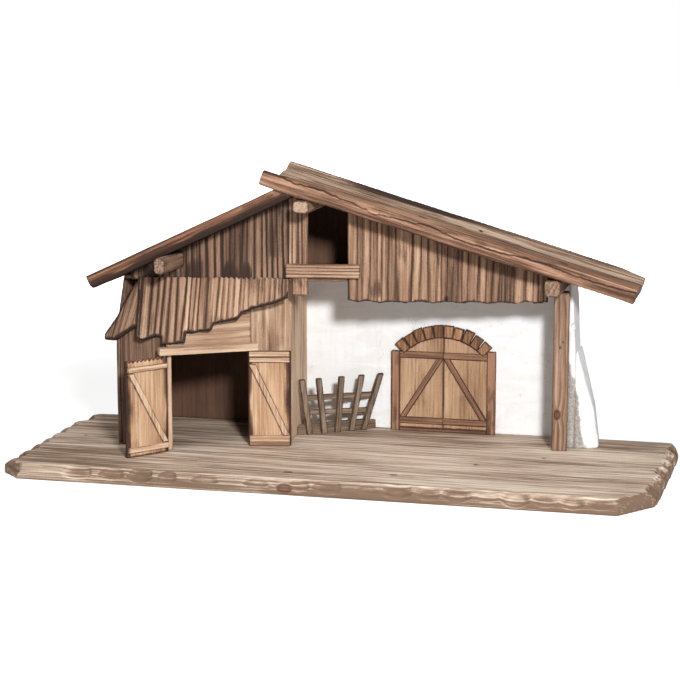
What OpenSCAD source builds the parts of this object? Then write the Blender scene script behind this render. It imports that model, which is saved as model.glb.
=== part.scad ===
/* [Base board] */
// Length of the base board, left to right
base_len = 709; // [700:1:760]
// Depth of the base board, front to back
base_depth = 274; // [266:2:290]
// Thickness of the base board
base_t = 16; // [12:1:25]
// Width of the hewn slope along the front and side edges
hewn_w = 9; // [4:1:14]
// Height of the hewn slope, measured down from the top face
hewn_h = 6; // [3:1:9]
// Middle of the building, distance right of the middle of the base board
building_right = 4.6; // [0:0.2:12]

/* [Stable room] */
// Width of the doorway
doorway_w = 90; // [84:0.5:96]
// Height of the doorway above the base
doorway_h = 108; // [96:1:114]
// Left edge of the doorway, distance left of the building's middle
doorway_left = 191.8; // [186:0.5:198]
// Front of the doorway's left edge, distance in front of the base's back edge
doorway_in = 170; // [166:0.5:174]
// Turn of the door wall from the base's front edge, in degrees
door_wall_turn = 31.8; // [29:0.2:34]
// Width of the plain board on the right of the doorway
pillar_w = 46; // [42:0.5:52]
// Width of the front panel on the left of the doorway
left_panel_w = 66.5; // [60:0.5:70]
// Angle of the left front panel from the base's front edge, in degrees
left_panel_turn = 12; // [8:1:16]
// Thickness of the wall boards
board_t = 5; // [4:0.5:6.5]
// Width of the jamb strip on the left of the doorway
jamb_w = 5.5; // [4:0.5:8]
// Height of the lintel
lintel_h = 8; // [6:0.5:10]
// Depth of the lintel, out from the wall
lintel_d = 10; // [9:0.5:12]
// Length of the lintel that passes each side of the doorway
lintel_over = 16; // [14:0.5:19]

/* [Stable doors] */
// Width of the left door leaf
left_leaf_w = 53; // [46:0.2:53.4]
// Width of the right door leaf
right_leaf_w = 47.6; // [42:0.2:48]
// Thickness of the boards of a leaf
leaf_t = 4.4; // [3.6:0.2:5]
// Thickness of the battens and braces on a leaf
batten_t = 2.6; // [1.6:0.2:3]
// Height of a batten
batten_h = 6; // [4:0.5:8]
// Width of a diagonal brace
brace_w = 7.4; // [5:0.2:9]
// Angle that the left leaf stands open, in degrees
left_leaf_open = 160; // [120:1:172]
// Angle that the right leaf stands open, in degrees
right_leaf_open = 162; // [120:1:176]
// Diameter of a pivot pin
pin_d = 1.6; // [1.2:0.1:1.8]
// Length of a pivot pin
pin_len = 12; // [10:1:14]
// Gap all round between a pin and its hole
pin_gap = 0.06; // [0.03:0.01:0.09]

/* [Gable] */
// Turn of the gable front from the base's front edge, in degrees
gable_turn = 9.1; // [6:0.1:12]
// Front face of the gable on the building's middle, distance in front of the base's back edge
gable_in = 105.9; // [102:0.1:110]
// Height of the loft floor's underside above the doorway's lintel
over_lintel_h = 69.5; // [64:0.5:74]
// Thickness of the loft floor
loft_floor_t = 5; // [4:0.5:7]
// Left edge of the loft opening, distance left of the building's middle
loft_left = 52.5; // [48:0.5:56]
// Width of the loft opening
loft_w = 44; // [38:0.5:50]
// Width of the two boards left of the loft opening, taken together
loft_jamb_w = 21; // [16:0.5:26]
// Height of the sill under the loft opening
sill_h = 14.5; // [12:0.5:18]
// Depth of the sill, out from the gable
sill_d = 8; // [6:0.5:10]
// Length of the sill
sill_len = 81; // [74:1:88]
// Drop of the right gable boards below the loft floor
right_gable_drop = 24; // [16:1:30]
// Pitch of the ribs on the ribbed boards
rib_pitch = 5.5; // [4:0.5:8]
// Depth of the furrows between the ribs
rib_depth = 1; // [0.5:0.1:1.6]

/* [Apron] */
// Lean of the front apron out from the wall, in degrees
apron_flare = 28.4; // [25:0.2:31]
// Longest drop of the apron, along its slope
apron_drop = 81; // [74:1:84]
// Left end of the apron, distance left of the building's middle
apron_left = 239; // [234:0.5:243]
// Turn of the side apron back from the front edge, in degrees
side_apron_turn = 27.3; // [20:0.5:35]
// Lean of the side apron out from the wall, in degrees
side_apron_flare = 22.5; // [16:0.5:28]
// Width of the side apron at its lower end
side_apron_w = 51; // [44:1:58]

/* [Roof] */
// Pitch of the long right roof, in degrees
right_pitch = 17.54; // [16.5:0.1:18.5]
// Pitch of the short left roof, in degrees
left_pitch = 25.3; // [24:0.1:27]
// Ridge of the roof's underside, distance left of the building's middle
ridge_left = 57.7; // [54:0.5:61]
// Height of the ridge underside above the loft floor's underside
loft_h = 97.9; // [92:0.1:104]
// Thickness of the right roof's planks
plank_t = 16; // [12:0.5:19]
// Thickness of the left roof's planks
left_plank_t = 14.6; // [11:0.5:18]
// Overhang of the roof in front of the gable, measured along the base's depth
roof_front_over = 43.5; // [36:0.5:48]
// Left eave of the roof, distance left of the building's middle
eave_left = 275; // [268:1:284]
// Right eave of the roof, distance right of the building's middle
eave_right = 302; // [290:1:312]
// Reach of the right roof past the ridge, along its slope
ridge_over = 38; // [30:0.5:44]
// Width of the front slab of the right roof
slab_w = 52; // [44:1:58]
// Width of the dished plank behind the slab
dished_w = 52; // [46:1:60]
// Rise of the dished plank's back lip above the roof
lip_rise = 3.5; // [2:0.5:6]
// Width of the front plank of the left roof
left_plank_w = 78; // [66:1:90]
// Width of a purlin
purlin_w = 15; // [11:0.5:16]
// Height of a purlin
purlin_h = 15; // [11:0.5:16]

/* [Porch] */
// Thickness of the rear wall
rear_wall_t = 5; // [4:0.5:7]
// Front face of the rear wall, distance in front of the base's back edge
rear_wall_in = 8; // [6:0.5:10]
// Outer face of the right wall, distance right of the building's middle
right_wall_out = 237; // [233:0.5:241]
// Thickness of the right wall
right_wall_t = 8; // [6:0.5:10]
// Side of the square corner post
post_w = 16.5; // [13:0.5:18]
// Front left edge of the post, distance in front of the base's back edge
post_in = 74.6; // [72:0.1:78]
// Reach of the buttress foot past the right wall
buttress_reach = 27; // [20:0.5:34]
// Height of the buttress above the base
buttress_h = 113; // [100:1:124]

/* [Barn door] */
// Left edge of the barn door's frame, distance right of the building's middle
barn_left = 20.5; // [14:0.5:26]
// Width of the barn door over its posts
barn_w = 121; // [112:1:130]
// Height of the posts above the base
barn_post_h = 97; // [90:1:102]
// Width of a post
barn_post_w = 9.5; // [8:0.5:12]
// Rise of the arch over its springing, at its inner edge
arch_rise = 26; // [22:0.5:29]
// Height of an arch block
arch_block_h = 14.5; // [12:0.5:17]
// Thickness of the leaf boards
barn_leaf_t = 2; // [1.5:0.25:3]
// Thickness of the rails and braces on the leaves
barn_rail_t = 2; // [1.5:0.25:3]
// Thickness of the posts and the arch blocks
barn_frame_t = 5; // [4.5:0.5:7]
// Height of a rail
barn_rail_h = 7; // [5:0.5:9]

/* [Hay rack] */
// Height of the pickets
picket_h = 66; // [58:1:74]
// Width of a picket
picket_w = 6.6; // [5:0.2:8]
// Thickness of a picket
picket_t = 3; // [2:0.25:4]
// Height of a rail
rack_rail_h = 6.2; // [5:0.2:8]
// Thickness of a rail
rack_rail_t = 2.6; // [2:0.2:4]
// Height of the foot block
rack_block_h = 11; // [8:0.5:13]
// Depth of the foot block
rack_block_d = 9; // [7:0.5:12]
// Turn of the rack from the base's front edge, in degrees
rack_turn = 36.5; // [35:0.5:39]
// Front left corner of the foot block, distance in front of the base's back edge
rack_in = 67; // [63:0.5:70]
// Forward lean of the rack, in degrees
rack_lean = 4.5; // [2:0.5:7]

/* [Hidden] */
$fn = 48;

// How far a cutting solid runs past what it cuts
over = 12;
// Clearance between a moving leaf and its neighbours
swing_gap = 0.5;
// Clearance between pieces that are set beside each other
set_gap = 0.2;

// Base
half_len = base_len / 2;
half_depth = base_depth / 2;
top_z = base_t;
// The building keeps its distance to the base's back edge
doorway_y = half_depth - doorway_in;
gable_back = half_depth - gable_in;
post_back = half_depth - post_in;
rack_back = half_depth - rack_in;
// Heights stand on each other: the doorway, its lintel, the loft floor and the ridge
loft_under = doorway_h + lintel_h + over_lintel_h;
ridge_h = loft_under + loft_h;
// Corners of the base board, as shares of half its length and half its depth
base_corner_shares = [
    [-0.942, -1], [0.884, -0.99], [0.979, -0.66], [0.985, -0.51], [0.997, 0.44], [1, 0.89],
    [0.975, 1], [-0.777, 0.985], [-0.976, 0.915], [-1, 0.57], [-0.995, -0.84]
];
// Edges of the base that are hewn to a slope: the corner that each starts at, and how deep it is
// hewn, as a share of the slope's width and height
hewn_edge_shares = [
    [0, 1], [1, 0.84], [2, 1.06], [3, 0.9], [4, 0.97], [8, 0.88], [9, 1.05], [10, 0.86]
];

// Stable room, seen from above
doorway_x = -doorway_left;
room_front_left = [
    doorway_x - left_panel_w * cos(left_panel_turn),
    doorway_y + left_panel_w * sin(left_panel_turn)
];
door_wall_len = doorway_w + pillar_w;
room_right = [
    doorway_x + door_wall_len * cos(door_wall_turn),
    doorway_y + door_wall_len * sin(door_wall_turn)
];
rear_face_y = half_depth - rear_wall_in;
rear_back_y = rear_face_y + rear_wall_t;
// Splay of the stable's right wall, left over its depth
right_splay = board_t;
room_right_rear_x = room_right[0] - right_splay;
jamb_d = board_t + batten_t;
// Lintel past the doorway on the right, as a share of its reach on the left
lintel_right_share = 0.4;

// Stable doors
leaf_gap = 0.4;
leaf_bottom = top_z + swing_gap;
leaf_top = top_z + doorway_h - swing_gap;
leaf_h = leaf_top - leaf_bottom;
axis_in = leaf_t / 2;
axis_out = swing_gap + batten_t + axis_in;
right_leaf_edge = doorway_w - leaf_gap;
left_leaf_edge = right_leaf_edge - right_leaf_w - leaf_gap - left_leaf_w;
left_axis_x = left_leaf_edge + axis_in;
right_axis_x = right_leaf_edge - axis_in;
pin_half = pin_len / 2;
pin_hole_d = pin_d + 2 * pin_gap;
batten_inset = 1.2;
// Bottom edges of the battens, as shares of the leaf's height
left_batten_shares = [0.045, 0.875];
right_batten_shares = [0.0, 0.055, 0.885, 0.945];
// Leaf's brace runs between these heights, as shares of the leaf's height
brace_span_shares = [0.112, 0.865];

// Gable and loft
loft_z = top_z + loft_under;
loft_top_z = loft_z + loft_floor_t;
loft_right_u = loft_w - loft_left;
jamb_boards_left_u = -loft_left - loft_jamb_w;
left_gable_end_u = -250;
right_gable_split_u = 100;
right_gable_bottom = loft_z - right_gable_drop;
sill_over_share = 0.17;
sill_left_u = jamb_boards_left_u - sill_h * sill_over_share;
// Depth of the grooves along the sill's front, as a share of its depth
sill_groove_share = 0.12;
// Height of a strip of the sill between two grooves, as a share of the sill's height
sill_strip_share = 0.2;
sill_strips = 4;
// Sill block: left edge past the jamb boards' left edge, width, height and depth
block_in = 5;
block_w = 16.8;
block_h = 19.2;
block_d = 9;
// Ragged lower edge of the right gable: shares of its length, and of the drop that it eats into
right_ragged_shares = [
    [0, 0.12], [0.05, 0.02], [0.1, 0.1], [0.16, 0], [0.22, 0.07], [0.29, 0.01], [0.36, 0.09],
    [0.43, 0.02], [0.5, 0.1], [0.57, 0.03], [0.63, 0.12], [0.7, 0.03], [0.77, 0.1], [0.84, 0.05],
    [0.9, 0.16], [0.95, 0.06], [1, 0.14]
];

// Aprons
apron_t = board_t * 0.8;
apron_right_u = jamb_boards_left_u;
apron_w = apron_left + apron_right_u;
// Lower edge of the front apron from its left end: shares of its width, and of its drop
apron_edge_shares = [
    [0, 0.9], [0.045, 0.945], [0.13, 0.885], [0.17, 0.89], [0.172, 1], [0.225, 0.995], [0.33, 0.97],
    [0.335, 0.83], [0.39, 0.825], [0.42, 0.8], [0.5, 0.785], [0.515, 0.69], [0.57, 0.665],
    [0.675, 0.615], [0.7, 0.53], [0.76, 0.475], [0.86, 0.415], [0.92, 0.38], [1, 0.3]
];
side_drop_share = 0.96;
side_apron_drop = apron_drop * side_drop_share;
side_corner_share = 0.6;
// Outline of the side apron from its upper corner: shares of its width, and of its drop
side_apron_shares = [
    [0.57, 0], [0.63, 0], [0.93, 0.735], [0.86, 0.74], [0.62, 0.85], [0.34, 0.985], [0.05, 1],
    [0, 0.925], [0.2, 0.68]
];

// Roof
ridge_z = top_z + ridge_h;
ridge_x = -ridge_left;
gable_slope = tan(gable_turn);
roof_front_y = gable_back - roof_front_over + gable_slope * ridge_x;
roof_rear_y = rear_back_y + (half_depth - rear_back_y) / 2;
right_turn = atan(gable_slope * cos(right_pitch));
left_turn = atan(gable_slope * cos(left_pitch));
right_roof_len = (eave_right + ridge_left) / cos(right_pitch);
left_roof_len = (eave_left - ridge_left) / cos(left_pitch);
rear_plank_share = 0.5;
left_rear_share = 0.8;
rear_plank_t = plank_t * rear_plank_share;
left_rear_t = left_plank_t * left_rear_share;
// Narrow tip of the slab past the dished plank: its width, its length and the taper behind it
slab_tip_w = 14;
slab_tip_len = 17;
slab_taper_len = 57;
dished_start = slab_tip_len - ridge_over;
// Front edge of the slab seen from its end: shares of its width and thickness
slab_edge_shares = [[0.02, 0], [0, 0.14], [0, 0.5], [0.04, 0.8], [0.13, 1]];
// Top of the dished plank seen from its end, front to back: shares of its width
// and of the lip's rise
dish_top_shares = [
    [0, -0.2], [0.25, -0.7], [0.5, -0.85], [0.7, -0.5], [0.84, 0.1], [0.93, 0.6], [0.97, 0.95],
    [1, 1]
];
// Underside of the long roof plank on the left, seen from its end
left_edge_shares = [[0.05, 0], [0, 0.32], [0, 1]];

// Purlins: middle, left or right of the building's middle
right_wall_in = right_wall_out - right_wall_t;
left_purlin_share = 0.22;
ridge_purlin_share = 0.62;
right_purlin_share = 0.72;
left_purlin_x = -(doorway_left + purlin_w * left_purlin_share);
ridge_purlin_x = ridge_x + purlin_w * ridge_purlin_share;
right_purlin_x = right_wall_in - post_w * right_purlin_share;
// Width and height of each purlin, as shares of the purlin sizes
left_purlin_shares = [0.83, 1.17];
ridge_purlin_shares = [1.22, 0.9];
right_purlin_shares = [1.2, 1.2];
// Left purlin past the roof's front edge, and the right one behind it
left_purlin_past = 17;
right_purlin_set_back = 7;
purlin_corner_share = 0.2;
right_purlin_left = right_purlin_x - purlin_w * right_purlin_shares[0] / 2;
right_gable_end_u = (right_purlin_left - set_gap) / cos(gable_turn);
right_gable_len = right_gable_end_u - loft_right_u;

// Porch
post_in_share = 0.82;
post_x = right_wall_in - post_w * post_in_share;
post_top = purlin_bottom(roof_under_right(right_purlin_x), right_pitch, right_purlin_shares);
right_wall_front = post_back + post_w + post_w * sin(gable_turn) + set_gap;
right_wall_top = roof_under_right(right_wall_out) - top_z;
// Notch in the right wall's front edge: width, height and height above the base
notch_w = 6;
notch_h = 8.4;
notch_rise = 132;
notch_z = top_z + notch_rise;
// Front and back outlines of the buttress: shares of its reach and of its height
buttress_front_shares = [[0, 0], [0.55, 0], [0.5, 0.1], [0.28, 0.37], [0.02, 0.66], [0, 0.66]];
buttress_back_shares = [
    [0, 0], [1, 0], [0.95, 0.1], [0.76, 0.375], [0.33, 0.7], [0.03, 0.97], [0, 1]
];
// Depth of the buttress's slanting front corner
buttress_corner_d = 9;
// Reach of the buttress at its back, as a share of its reach at the front
buttress_rear_share = 0.84;
// Right wall's outer face: where it starts to lean in, as a share of the loft floor's height,
// and what is left of its thickness under the roof
wall_lean_share = 0.56;
wall_top_share = 0.4;
right_lean_x = right_wall_in + right_wall_t * wall_top_share;
wall_lean_h = loft_under * wall_lean_share;
buttress_back_d = rear_back_y - right_wall_front - buttress_corner_d;

// Barn door
barn_in_left = barn_left + barn_post_w;
barn_in_w = barn_w - 2 * barn_post_w;
barn_mid_x = barn_left + barn_w / 2;
barn_top_z = top_z + barn_post_h;
arch_r = (pow(barn_in_w / 2, 2) + pow(arch_rise, 2)) / (2 * arch_rise);
// Springing of the arch below the posts' tops
arch_spring_drop = 12.5;
arch_z = barn_top_z - arch_spring_drop + arch_rise - arch_r;
arch_mid_r = arch_r + arch_block_h / 2;
// Angle between two arch blocks, and the width of a block of that
arch_count = 10;
arch_span_share = 0.93;
arch_step = 2 * asin(barn_in_w / 2 / arch_mid_r) * arch_span_share / arch_count;
arch_block_w = 2 * arch_r * sin(arch_step / 2) - 3 * set_gap;
// Lowest corner of the blocks at the arch's ends
arch_end_turn = arch_step * (arch_count - 1) / 2;
arch_low_z = arch_z + arch_r * cos(arch_end_turn) - arch_block_w / 2 * sin(arch_end_turn);
// Extra height of the right post, as a share of the posts' height
right_post_share = 1.03;
barn_sill_h = 4.2;
barn_rails_z = barn_top_z - barn_post_h + barn_sill_h;
// Lower edges of the rails above the threshold, as shares of the posts' height
barn_rail_shares = [0.05, 0.843];

// Hay rack
rack_start = [room_right_x(rack_back) + set_gap, rack_back];
rack_len = (rear_face_y - rack_back) / sin(rack_turn);
rack_end_y = rear_face_y - set_gap;
// Feet and heads of the pickets, as shares of the rack's length
picket_foot_shares = [0.154, 0.332, 0.498, 0.671, 0.824];
picket_head_shares = [0.035, 0.242, 0.527, 0.779, 1.02];
// Rails: both ends as shares of the rack's length, then their heights as shares of the pickets'
rack_rail_shares = [[0.08, 0.965, 0.61, 0.575], [0.09, 0.9, 0.35, 0.295]];

// Underside of the roof above a place, right and left of the ridge
function roof_under_right(x) = ridge_z - (x - ridge_x) * tan(right_pitch);
function roof_under_left(x) = ridge_z + (x - ridge_x) * tan(left_pitch);
// Top and bottom of a purlin whose upper corner meets a roof of this pitch
function purlin_top(under, pitch, shares) =
    under - purlin_w * (shares[0] / 2 - purlin_corner_share) * tan(pitch);
function purlin_bottom(under, pitch, shares) =
    purlin_top(under, pitch, shares) - purlin_h * shares[1];
// Outer face of the right wall at a height above the base, where it leans in
function wall_outer_x(h) =
    right_wall_out - (right_wall_out - right_lean_x)
    * (h - wall_lean_h) / (right_wall_top - wall_lean_h);
// Front face of the gable at a place along the base
function gable_y(x) = gable_back + gable_slope * x;
// Place seen from above, from its place along and through the gable
function gable_place(u, n) = [
    u * cos(gable_turn) - n * sin(gable_turn),
    gable_back + u * sin(gable_turn) + n * cos(gable_turn)
];
// Back face of the gable boards at a place along the base
function gable_rear_y(x) = gable_y(x) + board_t / cos(gable_turn);
// Place along the base where the rack's face at a depth meets the rear wall
function rack_end_x(d) =
    rack_start[0] + (rack_end_y - rack_start[1]) / tan(rack_turn) - d / sin(rack_turn);
// Outer face of the stable's right wall at a depth
function room_right_x(y) =
    room_right[0] + (room_right_rear_x - room_right[0])
    * (y - room_right[1]) / (rear_face_y - room_right[1]);
// Outline with furrows cut in its front, seen from above, for a board of this width
function ribbed(w, t, pitch, depth) =
    let (count = max(1, round(w / pitch)))
    concat(
        [for (i = [0 : 2 * count]) [w * i / (2 * count), i % 2 == 0 ? depth : 0]],
        [[w, t], [0, t]]
    );
// Points of shares turned into sizes
function sized(shares, w, h) = [for (s = shares) [s[0] * w, s[1] * h]];

// Places the building on the base board
module on_base() {
    translate([building_right, 0, 0]) children();
}

// Places the gable: along it, then back through it
module gable_frame() {
    translate([0, gable_back, 0]) rotate([0, 0, gable_turn]) children();
}

// Places the door wall: its start is the doorway's left edge and its front face
module door_frame() {
    translate([doorway_x, doorway_y, 0]) rotate([0, 0, door_wall_turn]) children();
}

// Places the left leaf: its start is the pivot, and it runs to the free edge
module left_leaf_frame() {
    door_frame()
        translate([left_axis_x, -axis_out, 0]) rotate([0, 0, -left_leaf_open]) children();
}

// Places the right leaf the same way
module right_leaf_frame() {
    door_frame()
        translate([right_axis_x, -axis_out, 0]) rotate([0, 0, right_leaf_open])
            mirror([1, 0, 0]) children();
}

// Places the right roof: down its slope, back, and out through it
module right_roof_frame() {
    translate([ridge_x, 0, ridge_z]) rotate([0, right_pitch, 0]) children();
}

// Places the left roof: up its slope, back, and out through it
module left_roof_frame() {
    translate([ridge_x, 0, ridge_z]) rotate([0, -left_pitch, 0]) children();
}

// Places the planks of the right roof along its front edge
module right_plank_frame() {
    right_roof_frame() translate([0, roof_front_y, 0]) rotate([0, 0, right_turn]) children();
}

// Places the planks of the left roof along its front edge
module left_plank_frame() {
    left_roof_frame() translate([0, roof_front_y, 0]) rotate([0, 0, left_turn]) children();
}

// Places the front apron: along it, back through it, and up it
module apron_frame() {
    gable_frame()
        translate([-apron_left, 0, loft_top_z]) rotate([-apron_flare, 0, 0]) children();
}

// Places the side apron by its upper corner, where it meets the front apron
module side_apron_frame() {
    gable_frame()
        translate([-apron_left, 0, loft_top_z])
            rotate([0, 0, -side_apron_turn - gable_turn]) rotate([-side_apron_flare, 0, 0])
                translate([-side_apron_w * side_corner_share, 0, 0]) children();
}

// Space under the roof, over the whole depth
module under_roof() {
    translate([0, half_depth, 0]) rotate([90, 0, 0])
        linear_extrude(base_depth)
            polygon([
                [-half_len, 0], [half_len, 0], [half_len, roof_under_right(half_len)],
                [ridge_x, ridge_z], [-half_len, roof_under_left(-half_len)]
            ]);
}

// Space behind the two aprons
module behind_aprons() {
    difference() {
        translate([-half_len, -half_depth, 0]) cube([base_len, base_depth, loft_z]);
        apron_frame()
            translate([-half_len, apron_t - base_depth, -base_depth])
                cube([base_len, base_depth, base_depth]);
        side_apron_frame()
            translate([-half_len, apron_t - base_depth, -base_depth])
                cube([base_len, base_depth, base_depth]);
    }
}

// Space under the right roof's plane, carried past the ridge
module under_right_plane() {
    translate([0, half_depth, 0]) rotate([90, 0, 0])
        linear_extrude(base_depth)
            polygon([
                [-half_len, 0], [half_len, 0],
                [half_len, roof_under_right(half_len)], [-half_len, roof_under_right(-half_len)]
            ]);
}

// One octagonal purlin, grown by a gap all round, for a place along the base
module purlin(x, under, pitch, shares, set_back, grow) {
    w = purlin_w * shares[0] + 2 * grow;
    h = purlin_h * shares[1] + 2 * grow;
    c = purlin_w * purlin_corner_share;
    top = purlin_top(under, pitch, shares) + grow;
    front = gable_y(x) - roof_front_over + set_back;
    translate([x, rear_face_y, top - h / 2]) rotate([90, 0, 0])
        linear_extrude(rear_face_y - front)
            polygon([
                [-w / 2, -h / 2 + c], [-w / 2 + c, -h / 2], [w / 2 - c, -h / 2],
                [w / 2, -h / 2 + c], [w / 2, h / 2 - c], [w / 2 - c, h / 2],
                [-w / 2 + c, h / 2], [-w / 2, h / 2 - c]
            ]);
}

module left_purlin_solid(grow) {
    purlin(left_purlin_x, roof_under_left(left_purlin_x), left_pitch, left_purlin_shares,
        -left_purlin_past, grow);
}

module ridge_purlin_solid(grow) {
    purlin(ridge_purlin_x, roof_under_right(ridge_purlin_x), right_pitch, ridge_purlin_shares,
        0, grow);
}

module right_purlin_solid(grow) {
    purlin(right_purlin_x, roof_under_right(right_purlin_x), right_pitch, right_purlin_shares,
        right_purlin_set_back, grow);
}

// A pivot pin's hole, upright, from a height over a length
module pin_hole(from, len) {
    translate([0, 0, from]) cylinder(d = pin_hole_d, h = len);
}

// Base
module base_board() {
    corners = sized(base_corner_shares, half_len, half_depth);
    color("#b39a7c")
        difference() {
            linear_extrude(base_t) polygon(corners);
            for (e = hewn_edge_shares)
                hewn_slope(corners[e[0]], corners[(e[0] + 1) % len(corners)], e[1]);
            on_base()
                door_frame()
                    for (x = [left_axis_x, right_axis_x])
                        translate([x, -axis_out, 0]) pin_hole(top_z - pin_half, pin_half + over);
        }
}

// The slope cut from the top of one edge of the base, along the line between two corners
module hewn_slope(from, to, share) {
    w = hewn_w * share;
    h = hewn_h * share;
    translate([from[0], from[1], top_z]) rotate([0, 0, atan2(to[1] - from[1], to[0] - from[0])])
        translate([-base_len, 0, 0]) rotate([90, 0, 90])
            linear_extrude(2 * base_len)
                polygon([
                    [-over, -h * (1 + over / w)], [w + over, h * over / w], [w, over],
                    [-over, over]
                ]);
}

// Walls
module rear_wall() {
    start = room_right_rear_x - board_t / 2;
    color("#ecebe8")
        translate([start, rear_back_y, top_z]) rotate([90, 0, 0])
            linear_extrude(rear_wall_t)
                polygon([
                    [0, 0], [right_wall_out - start, 0], [right_wall_out - start, wall_lean_h],
                    [wall_outer_x(loft_under) - start, loft_under], [0, loft_under]
                ]);
}

module stable_back_wall() {
    start = room_front_left[0] - board_t;
    color("#8a6f5c")
        translate([start, rear_face_y, top_z])
            cube([room_right_rear_x - board_t / 2 - start, rear_wall_t, loft_under]);
}

module upper_back_gable() {
    start = room_front_left[0] - board_t;
    color("#7d6350")
        intersection() {
            translate([start, rear_face_y, loft_top_z])
                cube([right_lean_x - start, rear_wall_t, ridge_h]);
            under_roof();
        }
}

module right_wall() {
    color("#e4e3e1")
        difference() {
            intersection() {
                translate([right_wall_in, rear_face_y, top_z]) rotate([90, 0, 0])
                    linear_extrude(rear_face_y - right_wall_front)
                        polygon([
                            [0, 0], [right_wall_t, 0], [right_wall_t, wall_lean_h],
                            [right_wall_t * wall_top_share, right_wall_top],
                            [right_wall_t * wall_top_share, ridge_h], [0, ridge_h]
                        ]);
                under_roof();
            }
            translate([right_wall_out - notch_w, right_wall_front - over, notch_z])
                cube([notch_w + over, over + notch_w, notch_h]);
        }
}

module buttress() {
    color("#e8e7e4")
        translate([right_wall_out, right_wall_front, top_z]) {
            hull() {
                buttress_slice(buttress_front_shares, 0, 1);
                buttress_slice(buttress_back_shares, buttress_corner_d, 1);
            }
            hull() {
                buttress_slice(buttress_back_shares, buttress_corner_d, 1);
                buttress_slice(buttress_back_shares, buttress_corner_d + buttress_back_d - set_gap,
                    buttress_rear_share);
            }
        }
}

// A thin upright slice of the buttress at a depth, with its reach as a share
module buttress_slice(shares, depth, reach_share) {
    translate([0, depth + set_gap, 0]) rotate([90, 0, 0])
        linear_extrude(set_gap)
            polygon(sized(shares, buttress_reach * reach_share, buttress_h));
}

module stable_left_wall() {
    start_y = room_front_left[1];
    color("#7f6653")
        intersection() {
            translate([room_front_left[0] - board_t, start_y, top_z])
                cube([board_t, rear_face_y - start_y, loft_under]);
            under_roof();
            behind_aprons();
        }
}

module stable_right_wall() {
    color("#c2a587")
        difference() {
            translate([0, 0, top_z])
                linear_extrude(loft_under)
                    polygon([
                        room_right, [room_right_rear_x, rear_face_y],
                        [room_right_rear_x - board_t, rear_face_y],
                        [room_right[0] - board_t, room_right[1] - board_t]
                    ]);
            door_frame()
                translate([doorway_w, board_t - base_depth, 0])
                    cube([pillar_w + over, base_depth, ridge_h]);
        }
}

module stable_left_panel() {
    color("#8a6f5b")
        difference() {
            intersection() {
                translate([room_front_left[0], room_front_left[1], top_z])
                    rotate([0, 0, -left_panel_turn])
                        cube([left_panel_w, board_t, loft_under]);
                behind_aprons();
            }
            door_frame() translate([-jamb_w, -over, 0]) cube([over + jamb_w, over + jamb_d, ridge_h]);
        }
}

module door_jamb() {
    color("#b98d63")
        door_frame() translate([-jamb_w, 0, top_z]) cube([jamb_w, jamb_d, doorway_h]);
}

module over_door_panel() {
    start_z = top_z + doorway_h;
    color("#b18a69")
        intersection() {
            door_frame()
                translate([-jamb_w, 0, start_z])
                    cube([jamb_w + doorway_w, board_t, loft_z - start_z]);
            behind_aprons();
        }
}

module right_pillar_board() {
    color("#c99f74")
        intersection() {
            door_frame() translate([doorway_w, 0, top_z]) cube([pillar_w, board_t, loft_under]);
            behind_aprons();
        }
}

module door_lintel() {
    color("#dcc3a6")
        difference() {
            door_frame()
                translate([-lintel_over, -lintel_d, top_z + doorway_h])
                    cube([doorway_w + lintel_over * (1 + lintel_right_share), lintel_d, lintel_h]);
            door_frame()
                translate([left_axis_x, -axis_out, 0])
                    pin_hole(top_z + doorway_h - over, over + pin_half);
            door_frame()
                translate([right_axis_x, -axis_out, 0])
                    pin_hole(top_z + doorway_h - over, over + pin_half);
        }
}

// The four pivot pins: one in the base and one in the lintel at each leaf
module door_pins() {
    color("#8f8f8f")
        door_frame()
            for (x = [left_axis_x, right_axis_x], z = [top_z, top_z + doorway_h])
                translate([x, -axis_out, z - pin_half]) cylinder(d = pin_d, h = pin_len);
}

// Stable doors
module leaf_board(w) {
    difference() {
        translate([-axis_in, axis_in, leaf_bottom]) mirror([0, 1, 0])
            linear_extrude(leaf_h) polygon(ribbed(w, leaf_t, rib_pitch, rib_depth / 2));
        pin_hole(top_z - over, over + pin_half + swing_gap);
        pin_hole(top_z + doorway_h - pin_half - swing_gap, over + pin_half);
    }
}

module leaf_battens(w, shares) {
    for (s = shares)
        translate([batten_inset - axis_in, axis_in, leaf_bottom + s * leaf_h])
            cube([w - 2 * batten_inset, batten_t, batten_h]);
}

// A diagonal brace from one foot place to one head place along the leaf
module leaf_brace(foot, head) {
    low = leaf_bottom + brace_span_shares[0] * leaf_h;
    high = leaf_bottom + brace_span_shares[1] * leaf_h;
    translate([-axis_in, axis_in + batten_t, 0]) rotate([90, 0, 0])
        linear_extrude(batten_t)
            polygon([[foot, low], [foot + brace_w, low], [head + brace_w, high], [head, high]]);
}

module left_door_board() {
    color("#c79a6e") left_leaf_frame() leaf_board(left_leaf_w);
}

module left_door_battens() {
    color("#cfa982") left_leaf_frame() leaf_battens(left_leaf_w, left_batten_shares);
}

module left_door_brace() {
    color("#b88a60")
        left_leaf_frame()
            leaf_brace(batten_inset, left_leaf_w - batten_inset - brace_w);
}

module right_door_board() {
    color("#c99a6b") right_leaf_frame() leaf_board(right_leaf_w);
}

module right_door_battens() {
    color("#cda67d") right_leaf_frame() leaf_battens(right_leaf_w, right_batten_shares);
}

module right_door_brace() {
    color("#c39a72")
        right_leaf_frame()
            leaf_brace(right_leaf_w - batten_inset - brace_w, batten_inset);
}

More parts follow.
